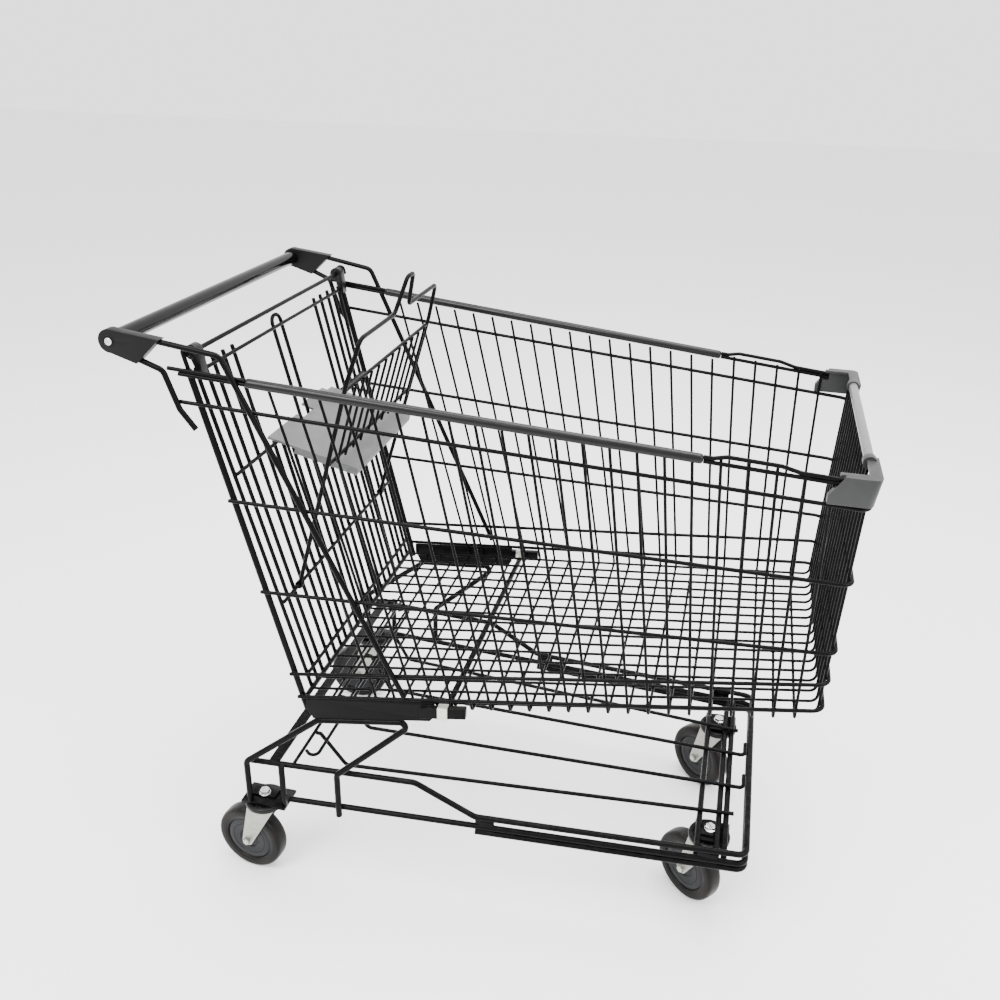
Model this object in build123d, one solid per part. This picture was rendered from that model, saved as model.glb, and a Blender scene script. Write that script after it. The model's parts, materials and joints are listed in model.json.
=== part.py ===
"""Wire shopping trolley with a child seat, a swinging rear gate and four swivel casters.

Millimetres. +X points to the front bumper, +Y to the trolley's left, +Z up. The origin is on the
floor, under the middle of the trolley. Welded wires lie in layers that touch, so a crossing is
two wires side by side and never one wire running through another.
"""
from build123d import *
from math import asin, atan2, cos, degrees, hypot, radians, sin
import os

# ---- overall sizes
overall_length = 1067.0        # back of the handle brackets to the bumper face
rear_half_width = 288.0        # middle of the side rails at the rear uprights
front_half_width = 230.3       # middle of the side rails at the front wall
handle_height = 970.0          # middle of the handle tube
rim_rear_height = 928.6
rim_front_height = 849.3
floor_rear_height = 374.7      # middle of the wires that cross under the floor
floor_front_height = 473.0
weld_gap = 0.02                # between pieces that are welded or pressed together
butt_gap = 0.3                 # between slanted ends that meet another piece
running_gap = 0.05             # radial, between a pin and what turns on it

# ---- bar and wire sizes
grid_wire = 4.5
rail_wire = 6.0
support_bar = 8.5
upright_bar = 10.0
upright_neck = 6.5             # thin top of the upright, above the rim
leg_bar = 10.5
chassis_bar = 10.0
tray_wire = 7.0
rim_tube_diameter = 14.0
handle_tube_diameter = 24.0
handle_tube_wall = 2.0
handle_plug = 14.0
hook_bends = ((45.0, 20.5), (89.5, 38.0), (108.0, 94.0), (129.5, 123.0))  # setback, below the handle

# ---- basket
upright_top_height = 945.0
upright_neck_height = 932.0
upright_neck_top = 958.0
upright_foot_height = 369.0
upright_top_setback = 115.5    # from the back of the trolley, at the top of the upright
upright_foot_setback = 258.5
front_wall_setback = 20.0      # from the bumper face, at rim height
front_wall_lean = 0.035        # forward run for each unit of rise
front_wire_setback = 12.0      # front wall's upright wires, at the front tube
floor_front_setback = 36.0
side_wire_count = 22
side_wire_top_first = 237.5    # from the back, at the rim
side_wire_foot_first = 381.5
side_wire_top_last = 59.0      # from the bumper face
side_wire_foot_last = 56.5
rail_heights = ((885.0, 814.0), (735.0, 701.0), (584.5, 590.0), (438.0, 539.0), (396.0, 493.5))
rim_tube_start = 207.0         # from the back, just ahead of the support bar
rim_tube_stop = 228.5          # from the bumper face
stacking_hump_rise = 5.0
floor_wire_count = 17
floor_rear_cross_count = 3
front_tube_height = 858.0
front_tube_diameter = 14.0
collar_reach = 158.0           # half the free length of the front tube
collar_diameter = 19.0
collar_length = 14.0
bumper_height = 40.0
bumper_wall = 10.0
bumper_top_length = 46.0       # side wall, along its top edge
bumper_foot_length = 66.0      # same, along its bottom edge
bumper_foot_height = 12.0      # rear edge of the side wall, before it slants
bumper_flange = 4.0
bumper_flange_width = 7.0      # inward from the walls
bumper_lean = 6.0              # front face, back towards the bottom
bumper_corner = 11.0
bumper_pocket = 7.0            # for the ends of the rim wires, across the wall

# ---- handle
bracket_radius = 17.0
bracket_width = 16.0
bracket_top_length = 94.0
bracket_foot_length = 55.5
bracket_socket = 8.0
screw_shank = 5.0
screw_head = 11.0
screw_length = 18.0

# ---- supports, plates and chassis
support_bend_setback = 175.5
support_bend_drop = 11.0       # below the middle of the handle
support_foot_setback = 425.5
support_foot_height = 428.0
plate_start = 260.5            # side plate, from the back
plate_stop = 470.5
plate_height = 38.0
plate_thickness = 4.0
tongue_stop = 524.0
tongue_height = 19.0
tongue_thickness = 11.0
band_start = 479.0
band_width = 16.0
band_thickness = 1.5
rail_over_wheel = 43.0         # bottom rail, above the top of the wheels
shelf_rise = 74.0              # rear part of the upper rail, above the bottom rail
upper_rail_rise = 19.0         # front part of the upper rail, above the bottom rail
chassis_rear_half = 273.6      # middle of the rails at the rear casters
chassis_front_half = 218.4     # middle of the rails at the front corner
chassis_front_setback = 90.5
rail_bend_radius = 16.0
second_rail_drop = 12.0        # from the bottom rail to the bar below it
second_rail_start = 536.0      # from the back
leg_foot_setback = 145.5
leg_top_start = 277.5
leg_top_stop = 440.5
post_setback = 303.5
short_post_setback = 206.5
front_bar_setbacks = (168.5, 136.6, 124.5)
tray_front_halves = (45.0, 115.0)
tray_rear_halves = (62.0, 172.0)

# ---- casters
wheel_diameter = 125.0
tyre_width = 30.0
hub_diameter = 86.0
axle_diameter = 8.0
caster_trail = 34.0
rear_caster_setback = 163.5
rear_caster_half = 266.0
front_caster_setback = 149.5
front_caster_half = 151.0
swivel_angles = {"rear_left": -6.0, "rear_right": 7.0, "front_left": 40.0, "front_right": 40.0}
rail_height = wheel_diameter + rail_over_wheel
shelf_height = rail_height + shelf_rise
upper_rail_height = rail_height + upper_rail_rise
plate_top = rail_height - chassis_bar / 2 - weld_gap
mount_thickness = 5.0
race_radius = 19.0
kingpin_diameter = 10.0
fork_sheet = 2.5
fork_cap_thickness = 4.0
fork_cap_radius = 24.0
fork_leg_half = 25.0           # half of a fork leg's top edge
fork_eye = 10.0                # radius of a fork leg round the axle
fork_side_gap = 2.0            # between the tyre and a fork leg
fork_reach = 40.0              # beyond both fork legs, for the axle hole
guard_outer = 35.0
guard_inner = 25.5
guard_height = 10.0

# ---- gate and child seat
gate_wire = 6.5
gate_rod = 6.0
gate_top_height = 923.0
gate_foot_height = 393.0
gate_top_half = 262.0
gate_foot_half = 240.0
gate_loop_rise = 16.0          # middle loop, above the top bar
gate_loop_half = 15.0
hinge_bar_diameter = 7.0
hinge_bar_height = 953.0
hinge_clear = 60.0             # reach of the cuts in a hinge block, beyond it
hinge_lobe = 11.0
seat_rod_height = 765.0
seat_width = 260.0
seat_depth = 142.0
seat_drop = 13.6               # degrees below level, in use
seat_sheet = 4.0
seat_lip = 9.0
seat_overhang = 14.0           # behind the seat rod
seat_tab_overhang = 25.0       # same, on the tab of the left half
seat_tab = (24.0, 112.0)
seat_notch_half = 21.0         # round the middle loop of the gate
rib_start = 34.0
seat_hook_places = (28.0, 108.5)
seat_hook_width = 15.0
back_pivot_height = 548.0
back_lean = 15.9               # degrees from upright, in use
back_bar = 7.0
back_cross_distance = 367.0    # along the seat back from its pivot
back_low_cross_distance = 226.0
back_corner_distance = 434.0
back_hump_distance = 492.0
back_hump_foot = 34.0
back_hump_top = 14.0
back_foot_half = 188.0
back_cross_half = 196.0
back_corner_half = 180.0
back_wire_count = 11

rear_x = -overall_length / 2
front_x = overall_length / 2
wheel_radius = wheel_diameter / 2
sides = (("left", 1), ("right", -1))


# ---- lines that the pieces share
def between(start, stop, share):
    """Value at a share of the way from start to stop."""
    return start + (stop - start) * share


def upright_x(z):
    """Middle plane of the rear uprights and of the gate at a height."""
    share = (z - upright_foot_height) / (upright_top_height - upright_foot_height)
    return rear_x + between(upright_foot_setback, upright_top_setback, share)


def wall_x(z):
    """Middle plane of the front wall's upright wires at a height."""
    return front_x - front_wire_setback + (z - front_tube_height) * front_wall_lean


def half_width(x):
    """Half of the basket's width at the middle of the side rails."""
    rear, front = rear_x + upright_top_setback, front_x - front_wall_setback
    return between(rear_half_width, front_half_width, (x - rear) / (front - rear))


def grid_half(x):
    """Half of the basket's width at the middle of the upright side wires."""
    return half_width(x) - rail_wire / 2 - grid_wire / 2 - weld_gap


def rim_z(x):
    """Height of the rim at a station."""
    rear, front = rear_x + upright_top_setback, front_x - front_wall_setback
    return between(rim_rear_height, rim_front_height, (x - rear) / (front - rear))


def floor_z(x):
    """Height of the wires that cross under the floor."""
    rear, front = rear_x + upright_foot_setback, front_x - floor_front_setback
    return between(floor_rear_height, floor_front_height, (x - rear) / (front - rear))


def low_rail_z(x):
    """Height of the lowest side rail at a station."""
    rear_height, front_height = rail_heights[-1]
    rear, front = upright_x(rear_height), wall_x(front_height)
    return between(rear_height, front_height, (x - rear) / (front - rear))


def chassis_half(x):
    """Half of the chassis width at the middle of its rails."""
    rear, front = rear_x + rear_caster_setback, front_x - chassis_front_setback
    return between(chassis_rear_half, chassis_front_half, (x - rear) / (front - rear))


def leg_half(x):
    """Half of the distance between the rear legs, which lie outside the rails."""
    return chassis_half(x) + chassis_bar / 2 + leg_bar / 2 + weld_gap


def outer_half(x):
    """Half of the distance between the support bars, which lie outside the side rails."""
    return half_width(x) + rail_wire / 2 + support_bar / 2 + weld_gap


gate_lean = atan2(upright_x(0) - upright_x(1), 1.0)


def gate_point(z, offset):
    """X and Z of a point in front of the gate's middle plane by an offset."""
    return upright_x(z) + offset * cos(gate_lean), z + offset * sin(gate_lean)


# ---- solids
def rod(start, end, diameter):
    """Straight round bar between two points."""
    run = Vector(*end) - Vector(*start)
    return Solid.make_cylinder(diameter / 2, run.length, Plane(origin=start, z_dir=run))


def bent_bar(points, diameter, bend):
    """Round bar along a path with rounded corners."""
    path = FilletPolyline(*points, radius=bend)
    section = Plane(origin=path @ 0, z_dir=path % 0) * Circle(diameter / 2)
    return sweep(section, path=path).solid()


def block(x_range, y_range, z_range):
    """Box between two corners, in any order along each axis."""
    lows = [min(pair) for pair in (x_range, y_range, z_range)]
    spans = [abs(pair[1] - pair[0]) for pair in (x_range, y_range, z_range)]
    return Pos(*lows) * Box(*spans, align=(Align.MIN, Align.MIN, Align.MIN))


def prism(outline, start, stop):
    """Outline in X and Z, extended from one Y to another."""
    plane = Plane(origin=(0, start, 0), x_dir=(1, 0, 0), z_dir=(0, -1, 0))
    face = plane * make_face(Polyline(*outline, close=True))
    return extrude(face, abs(stop - start), dir=(0, 1 if stop > start else -1, 0))


def across(x, z, half, diameter):
    """Round bar from side to side."""
    return rod((x, -half, z), (x, half, z), diameter)


def save(name, *pieces):
    """Write the pieces of one node as separate solids."""
    solids = [solid for piece in pieces for solid in piece.solids()]
    shape = solids[0] if len(solids) == 1 else Compound(children=solids)
    export_step(shape, f"parts/{name}.step")


# ---- handle
handle_x = rear_x + bracket_radius
bracket_middle = outer_half(rear_x + 60.0)
bracket_inner = bracket_middle - bracket_width / 2
bracket_outer = bracket_middle + bracket_width / 2


def handle_tube():
    """Tube between the brackets, with a plug welded in each end for the screws."""
    half = bracket_inner + bracket_socket
    outside = Solid.make_cylinder(handle_tube_diameter / 2, 2 * half)
    bore = Pos(0, 0, handle_plug) * Cylinder(
        handle_tube_diameter / 2 - handle_tube_wall, 2 * (half - handle_plug),
        align=(Align.CENTER, Align.CENTER, Align.MIN))
    screw_hole = Cylinder(screw_shank / 2 + running_gap, 2 * half,
                          align=(Align.CENTER, Align.CENTER, Align.MIN))
    tube = outside - bore - screw_hole
    return Pos(handle_x, -half, handle_height) * Rot(-90, 0, 0) * tube


def support_path(side):
    """Upper bar: from inside the bracket, over a bend, down to the side plate."""
    points = [(rear_x + 75.0, handle_height + 5.0),
              (rear_x + support_bend_setback, handle_height - support_bend_drop),
              (rear_x + support_foot_setback, support_foot_height)]
    return [(x, side * outer_half(x), z) for x, z in points]


def hook_path(side):
    """Lower bar: from inside the bracket, down behind the basket, ending in a bag hook."""
    return [(rear_x + x, side * outer_half(rear_x + x), handle_height - drop) for x, drop in hook_bends]


def handle_bracket(side):
    """Plastic bracket: round end on the tube, slanted front edge, sockets for tube and bars."""
    face = Plane(origin=(0, side * bracket_middle, 0), x_dir=(1, 0, 0), z_dir=(0, -1, 0))
    round_end = Pos(handle_x, handle_height) * Circle(bracket_radius)
    web = make_face(Polyline(
        (handle_x, handle_height + bracket_radius), (rear_x + bracket_top_length, handle_height + 8.0),
        (rear_x + bracket_foot_length, handle_height - 29.0), (handle_x, handle_height - bracket_radius),
        close=True))
    body = extrude(face * (round_end + web), bracket_width / 2, both=True)
    tube_end = side * (bracket_inner + bracket_socket)
    body -= rod((handle_x, 0, handle_height), (handle_x, tube_end, handle_height),
                handle_tube_diameter + 2 * running_gap)
    body -= rod((handle_x, 0, handle_height), (handle_x, side * 400, handle_height),
                screw_shank + 2 * running_gap)
    for path in (support_path(side), hook_path(side)):
        body -= rod(path[0], path[1], support_bar + 2 * running_gap)
    return body


def handle_screw(side):
    """Domed screw through the bracket into the plug of the tube."""
    head = Pos(0, 0, 0) * Cylinder(screw_head / 2, 3, align=(Align.CENTER, Align.CENTER, Align.MIN))
    head = fillet(head.edges().group_by(Axis.Z)[-1], 1.4)
    head -= Pos(0, 0, 1.6) * extrude(RegularPolygon(2.4, 6), 3)
    shank = Cylinder(screw_shank / 2, screw_length, align=(Align.CENTER, Align.CENTER, Align.MAX))
    turn = Rot(-90 * side, 0, 0)
    return Pos(handle_x, side * (bracket_outer + weld_gap), handle_height) * turn * (head + shank)


# ---- basket
upright_half_step = rail_wire / 2 + upright_bar / 2 + weld_gap


def upright(side):
    """Thick rear upright inside the ends of the side rails, with a thin neck above the rim."""
    foot, shoulder, top = [(upright_x(z), side * (half_width(upright_x(z)) - upright_half_step), z)
                           for z in (upright_foot_height, upright_neck_height, upright_neck_top)]
    return rod(foot, shoulder, upright_bar) + rod(foot, top, upright_neck)


def side_wires(side):
    """Upright wires of one side, fanned between the diagonal at the rear and the front wall."""
    wires = []
    for index in range(side_wire_count):
        share = index / (side_wire_count - 1)
        top_x = between(rear_x + side_wire_top_first, front_x - side_wire_top_last, share)
        foot_x = between(rear_x + side_wire_foot_first, front_x - side_wire_foot_last, share)
        under_tube = top_x < front_x - rim_tube_stop + grid_wire
        top_z = rim_z(top_x) + (-rim_tube_diameter / 2 - 0.8 if under_tube else rail_wire / 2)
        foot_z = floor_z(foot_x) - grid_wire / 2
        wires.append(rod((foot_x, side * grid_half(foot_x), foot_z),
                         (top_x, side * grid_half(top_x), top_z), grid_wire))
    return wires


def front_step():
    """Distance from the front wall's wires to the bands that cross them."""
    return grid_wire / 2 + rail_wire / 2 + weld_gap


def side_rails(side):
    """Horizontal wires of one side, from the upright to the front bands."""
    rails = []
    for rear_height, front_height in rail_heights:
        start_x = upright_x(rear_height) - upright_bar / 2
        if rear_height == rail_heights[0][0]:
            start_x = rear_x + 103.0
        stop_x = wall_x(front_height) + front_step() + rail_wire / 2
        rails.append(rod((start_x, side * half_width(start_x), rear_height),
                         (stop_x, side * half_width(stop_x), front_height), rail_wire))
    return rails


def rim_tube(side):
    """Tube over the middle of the rim."""
    start_x, stop_x = rear_x + rim_tube_start, front_x - rim_tube_stop
    return rod((start_x, side * half_width(start_x), rim_z(start_x)),
               (stop_x, side * half_width(stop_x), rim_z(stop_x)), rim_tube_diameter)


def rim_wires(side):
    """Pairs of wires that carry the rim on behind and ahead of the tube."""
    step = rail_wire / 2 + weld_gap

    def point(x, rise):
        return x, side * half_width(x), rim_z(x) + rise

    rear_stop = rear_x + rim_tube_start - butt_gap
    front_start, front_stop = front_x - rim_tube_stop + butt_gap, front_x - bumper_top_length - butt_gap
    rear_upper = rod(point(rear_x + 92.5, step), point(rear_stop, step), rail_wire)
    rear_lower = rod(point(rear_x + 108.0, -step), point(rear_stop, -step), rail_wire)
    front_lower = rod(point(front_start, -step), point(front_stop, -step), rail_wire)
    hump = [point(front_start, step), point(front_start + 12, step),
            point(front_start + 30, step + stacking_hump_rise),
            point(front_start + 100, step + stacking_hump_rise),
            point(front_start + 126, step), point(front_stop, step)]
    return [rear_upper, rear_lower, front_lower, bent_bar(hump, rail_wire, 12)]


def basket_floor():
    """Wires across the floor, wires along it on top of them, and the bar at the rear edge."""
    pieces = []
    foot_first = rear_x + side_wire_foot_first
    foot_last = front_x - side_wire_foot_last
    pitch = (foot_last - foot_first) / (side_wire_count - 1)
    for index in range(-floor_rear_cross_count, side_wire_count):
        x = foot_first + index * pitch
        if x > rear_x + upright_foot_setback + upright_bar:
            pieces.append(across(x, floor_z(x), grid_half(x) - grid_wire / 2 - weld_gap, grid_wire))
    along_rise = grid_wire + weld_gap
    edge_x = rear_x + upright_foot_setback - upright_bar
    edge_z = floor_z(edge_x) + along_rise
    pieces.append(across(edge_x, edge_z, half_width(edge_x) - upright_half_step - 6.0, support_bar))
    start_x = edge_x + support_bar / 2 + 2 * weld_gap
    stop_x = wall_x(floor_front_height) - grid_wire / 2 - butt_gap
    for index in range(floor_wire_count):
        share = between(-1, 1, index / (floor_wire_count - 1))
        pieces.append(rod(
            (start_x, share * (grid_half(start_x) - 12), floor_z(start_x) + along_rise),
            (stop_x, share * front_grid_half(), floor_z(stop_x) + along_rise), grid_wire))
    return pieces


def front_grid_half():
    """Half of the distance between the outermost wires of the front wall."""
    return grid_half(front_x - front_wall_setback) - 2.5 * grid_wire


def front_grid():
    """Upright wires of the front wall and the bands that cross them on the outside."""
    pieces = []
    foot_z = floor_z(wall_x(floor_front_height)) + 2 * weld_gap + grid_wire / 2
    for index in range(floor_wire_count):
        y = between(-front_grid_half(), front_grid_half(), index / (floor_wire_count - 1))
        under_collar = abs(y) > collar_reach - grid_wire
        lift = collar_diameter / 2 + 0.5 if under_collar else front_tube_diameter / 2 + weld_gap
        top_z = front_tube_height - lift
        pieces.append(rod((wall_x(foot_z), y, foot_z), (wall_x(top_z), y, top_z), grid_wire))
    for _, height in rail_heights:
        x = wall_x(height) + front_step()
        pieces.append(across(x, height, half_width(x) - rail_wire / 2 - butt_gap, rail_wire))
    return pieces


def front_tube():
    """Tube along the top of the front wall, its ends inside the collars."""
    half = collar_reach + collar_length - 4
    return across(wall_x(front_tube_height), front_tube_height, half, front_tube_diameter)


def corner_bumper(side):
    """Moulded corner: side wall, front wall, flange over the rim and a collar on the front tube."""
    top = front_tube_height + bumper_flange
    low = top - bumper_height
    inner = grid_half(front_x - bumper_foot_length) + grid_wire / 2 + weld_gap
    outer = inner + bumper_wall
    start_x = front_x - bumper_top_length
    front_inner = wall_x(top) + grid_wire / 2 + butt_gap
    edge = (front_x, top), (front_x - bumper_lean, low)
    foot_x = front_x - bumper_foot_length
    side_wall = prism([(start_x, top), *edge, (foot_x, low), (foot_x, low + bumper_foot_height)],
                      side * inner, side * outer)
    front_wall = prism([(front_inner, top), *edge, (front_inner, low)], side * collar_reach, side * outer)
    upright_edges = (side_wall + front_wall).edges().filter_by(
        lambda line: abs((line @ 1 - line @ 0).Z) > bumper_height / 2)
    corner_edge = upright_edges.sort_by(lambda line: line.center().X + side * line.center().Y)[-1]
    body = fillet(corner_edge, bumper_corner)
    body += block((start_x - bumper_flange_width, front_inner + 1),
                  (side * (inner - bumper_flange_width), side * (inner + 1)), (top - bumper_flange, top))
    body += block((front_inner - bumper_flange_width, front_inner + 1), (side * collar_reach, side * inner),
                  (top - bumper_flange, top))
    wire_z = rim_z(start_x)
    body -= block((foot_x, start_x + butt_gap), (side * (inner - 2), side * (inner + bumper_pocket)),
                  (wire_z - rail_wire - 2, top - bumper_flange))
    slant = Plane(origin=(front_inner - 30, 0, 0), z_dir=(1, 0, 0)) * make_face(
        Polyline((side * (collar_reach - 1), low - 1), (side * (outer - 24), low - 1),
                 (side * (collar_reach + 12), top - 18), (side * (collar_reach - 1), top - 18), close=True))
    body -= extrude(slant, 80)
    collar_x = wall_x(front_tube_height)
    collar_ends = [(collar_x, side * y, front_tube_height)
                   for y in (collar_reach, collar_reach + collar_length)]
    body += rod(*collar_ends, collar_diameter)
    tube_stop = side * (collar_reach + collar_length - 4 + weld_gap)
    body -= rod((collar_x, 0, front_tube_height), (collar_x, tube_stop, front_tube_height),
                front_tube_diameter + 2 * running_gap)
    return body


# ---- side plates
def plate_top_z(x):
    """Top edge of the side plate at a station."""
    return low_rail_z(x) - rail_wire / 2 - weld_gap


def leaf(points, inset, thickness):
    """Upright slab on the left side that follows the taper of the basket."""
    start_x = points[0][0]
    taper = atan2(half_width(rear_x) - half_width(front_x), front_x - rear_x)
    face = Plane.XZ * make_face(Polyline(*[((x - start_x) / cos(taper), z) for x, z in points], close=True))
    slab = extrude(face, thickness, dir=(0, 1, 0))
    inner = grid_half(start_x) + grid_wire / 2 + weld_gap + inset
    return Pos(start_x, inner, 0) * Rot(0, 0, -degrees(taper)) * slab


def side_plate(side):
    """Plate that joins basket and legs, with a thick tongue that reaches under the floor edge."""
    start_x, stop_x, tongue_x = rear_x + plate_start, rear_x + plate_stop, rear_x + tongue_stop
    outline = [(start_x, plate_top_z(start_x)), (stop_x, plate_top_z(stop_x)),
               (stop_x, plate_top_z(stop_x) - plate_height + 8),
               (stop_x - 6, plate_top_z(stop_x) - plate_height),
               (start_x + 10, plate_top_z(start_x + 10) - plate_height),
               (start_x, plate_top_z(start_x) - plate_height + 20)]
    drop = (plate_height - tongue_height) / 3
    root_x = stop_x - 20
    tongue = [(root_x, plate_top_z(root_x) - drop), (tongue_x, plate_top_z(tongue_x) - drop),
              (tongue_x, plate_top_z(tongue_x) - drop - tongue_height),
              (root_x, plate_top_z(root_x) - drop - tongue_height)]
    body = leaf(outline, 0, plate_thickness) + leaf(tongue, band_thickness + 0.5, tongue_thickness)
    return body if side > 0 else mirror(body, about=Plane.XZ)


def plate_band(side):
    """Metal band round the tongue."""
    drop = (plate_height - tongue_height) / 3
    start_x = rear_x + band_start

    def loop(reach, grow):
        ends = (start_x - reach, start_x + band_width + reach)
        low = [(x, plate_top_z(x) - drop - tongue_height - grow) for x in reversed(ends)]
        return [(x, plate_top_z(x) - drop + grow) for x in ends] + low

    outer = leaf(loop(0, running_gap + band_thickness), 0.5 - running_gap,
                 tongue_thickness + 2 * (band_thickness + running_gap))
    opening = leaf(loop(5, running_gap), band_thickness + 0.5 - running_gap,
                   tongue_thickness + 2 * running_gap)
    body = outer - opening
    return body if side > 0 else mirror(body, about=Plane.XZ)


# ---- chassis
def rear_leg(side):
    """Bent leg: up from the caster plate, forward under the side plate, back down to the rails."""
    top_rear, top_front = rear_x + leg_top_start, rear_x + leg_top_stop

    def under_plate(x):
        return plate_top_z(x) - plate_height - leg_bar / 2 - weld_gap

    points = [(rear_x + leg_foot_setback, plate_top + weld_gap),
              (rear_x + leg_foot_setback, shelf_height + 5),
              (top_rear, under_plate(top_rear)), (top_front, under_plate(top_front)),
              (rear_x + post_setback, shelf_height + 2),
              (rear_x + post_setback, rail_height - chassis_bar - 1)]
    path = [(x, side * leg_half(x), z) for x, z in points]
    return bent_bar(path, leg_bar, [12, 14, 9, 12])


def short_post(side):
    """Post between the caster plate and the upper rail."""
    x = rear_x + short_post_setback
    return rod((x, side * leg_half(x), plate_top + weld_gap),
               (x, side * leg_half(x), shelf_height + 5), leg_bar)


def chassis_front_x():
    """Middle of the bars across the front of the chassis."""
    return front_x - chassis_front_setback


def bottom_rail():
    """Lower bar of the chassis, bent round the front."""
    start_x, stop_x = rear_x + short_post_setback + 6, chassis_front_x()
    ends = [(start_x, chassis_half(start_x)), (stop_x, chassis_half(stop_x))]
    points = [(x, -y, rail_height) for x, y in ends] + [(x, y, rail_height) for x, y in reversed(ends)]
    return bent_bar(points, chassis_bar, rail_bend_radius)


def second_rail():
    """Bar below the bottom rail round the front half, on spacers."""
    start_x, stop_x = rear_x + second_rail_start, chassis_front_x()
    z = rail_height - second_rail_drop
    ends = [(start_x, chassis_half(start_x)), (stop_x, chassis_half(stop_x))]
    points = [(x, -y, z) for x, y in ends] + [(x, y, z) for x, y in reversed(ends)]
    return bent_bar(points, chassis_bar, rail_bend_radius)


def upper_rail():
    """Upper bar of the chassis: a shelf at the rear, a step down, then along above the lower bar."""
    stations = [(rear_x + leg_foot_setback + 4, shelf_height), (rear_x + 433.5, shelf_height),
                (rear_x + 535.5, upper_rail_height), (chassis_front_x(), upper_rail_height)]
    near = [(x, -chassis_half(x), z) for x, z in stations]
    far = [(x, -y, z) for x, y, z in reversed(near)]
    radii = [24, 24, rail_bend_radius, rail_bend_radius, 24, 24]
    return bent_bar(near + far, chassis_bar, radii)


def rail_pads():
    """Spacers welded between the rails where they come together and near the front corners."""
    pads = []
    clear = chassis_bar / 2 + weld_gap
    gaps = ((rail_height + clear, upper_rail_height - clear),
            (rail_height - second_rail_drop + clear, rail_height - clear))
    for _, side in sides:
        for x in (rear_x + 552.0, chassis_front_x() - 60):
            for low, high in gaps:
                pads.append(block((x - 16, x + 16),
                                  (side * chassis_half(x) - 3, side * chassis_half(x) + 3), (low, high)))
    return pads


def cross_bars():
    """Bars from side to side: two and a bowed one on the rear shelf, one under the floor."""
    on_shelf = shelf_height + chassis_bar / 2 + gate_rod / 2 + weld_gap
    bar_x, bow_x, floor_x = rear_x + 226.5, rear_x + 255.5, rear_x + 486.5
    start = bar_x + gate_rod + 2 * weld_gap
    flat_x = rear_x + 191.5
    bow = [(start, -236, on_shelf), (bow_x, -256, on_shelf), (bow_x, 256, on_shelf), (start, 236, on_shelf)]
    floor_bar = 10.0
    floor_bar_z = floor_z(floor_x) - grid_wire / 2 - floor_bar / 2 - butt_gap
    flat_low = shelf_height + chassis_bar / 2 + weld_gap
    return [across(bar_x, on_shelf, chassis_half(bar_x) + 2, gate_rod),
            bent_bar(bow, gate_rod, 10),
            block((flat_x - 9, flat_x + 9), (-chassis_half(flat_x) - 3, chassis_half(flat_x) + 3),
                  (flat_low, flat_low + 4)),
            across(floor_x, floor_bar_z, grid_half(floor_x) + grid_wire / 2, floor_bar)]


def front_cross_bars():
    """Three bars that carry the front caster plates."""
    bars = []
    for setback in front_bar_setbacks:
        half = chassis_half(front_x - setback) - chassis_bar / 2 - butt_gap
        bars.append(across(front_x - setback, rail_height, half, chassis_bar))
    return bars


def tray_wires():
    """Four wires of the lower tray, from the rear bar down and forward over the front bars."""
    wires = []
    high = shelf_height + chassis_bar / 2 + gate_rod / 2 + weld_gap
    low = rail_height + chassis_bar / 2 + tray_wire / 2 + weld_gap
    start_x = rear_x + 226.5
    for _, side in sides:
        for rear_y, front_y, hooked in ((tray_rear_halves[0], tray_front_halves[0], True),
                                        (tray_rear_halves[1], tray_front_halves[1], False)):
            begin = (start_x, side * (rear_y + 8), high - gate_rod / 2 - tray_wire / 2 - weld_gap)
            points = [begin, (start_x + 8, side * (rear_y + 8), begin[2]),
                      (rear_x + 276.5, side * rear_y, low)]
            if hooked:
                end_x = chassis_front_x() - chassis_bar / 2 - tray_wire / 2 - weld_gap
                points += [(end_x, side * front_y, low), (end_x, side * front_y + 34, low)]
                wires.append(bent_bar(points, tray_wire, [3, 14, 9]))
            else:
                points.append((front_x - 113.0, side * front_y, low))
                wires.append(bent_bar(points, tray_wire, [3, 14]))
    return wires


# ---- casters
def caster_place(corner):
    """X and Y of a caster's swivel axis."""
    side = 1 if corner.endswith("left") else -1
    if corner.startswith("rear"):
        return rear_x + rear_caster_setback, side * rear_caster_half
    return front_x - front_caster_setback, side * front_caster_half


def place_caster(corner, shape, turn=True):
    """Move a shape modelled round the swivel axis, trailing towards -X, to its corner."""
    x, y = caster_place(corner)
    return Pos(x, y, 0) * Rot(0, 0, -swivel_angles[corner] if turn else 0) * shape


mount_low = plate_top - mount_thickness
cap_top = mount_low - 8.0


def caster_mount(corner):
    """Welded plate with a raised pad for the bolt and the fixed race below."""
    if corner.startswith("rear"):
        plate = block((-34, 47), (-24, 24), (mount_low, plate_top))
        pad = block((-22, 22), (-14, 8), (plate_top, plate_top + 5))
        if corner.endswith("right"):
            pad = block((-22, 22), (-8, 14), (plate_top, plate_top + 5))
    else:
        plate = block((-25, 32), (-24, 24), (mount_low, plate_top))
        pad = block((-14, 6.5), (-16, 16), (plate_top, plate_top + 5))
    race_low = cap_top + running_gap
    race = Pos(0, 0, (race_low + mount_low) / 2) * Cylinder(race_radius, mount_low - race_low)
    body = plate + pad + race
    bore = Pos(0, 0, plate_top) * Cylinder(kingpin_diameter / 2 + running_gap, 60)
    return place_caster(corner, body - bore, turn=False)


def kingpin(corner):
    """Bolt through the plate and the fork's cap, with its nut under the cap."""
    head_low = plate_top + 5 + weld_gap
    head = Pos(0, 0, head_low) * extrude(RegularPolygon(8.6, 6, rotation=30), 6)
    washer_low = cap_top - fork_cap_thickness - 0.3
    nut = Pos(0, 0, washer_low - 7) * extrude(RegularPolygon(8.6, 6), 7)
    low = washer_low - 9
    shank = Pos(0, 0, (low + head_low) / 2) * Cylinder(kingpin_diameter / 2, head_low - low)
    return place_caster(corner, head + shank + nut, turn=False)


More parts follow.
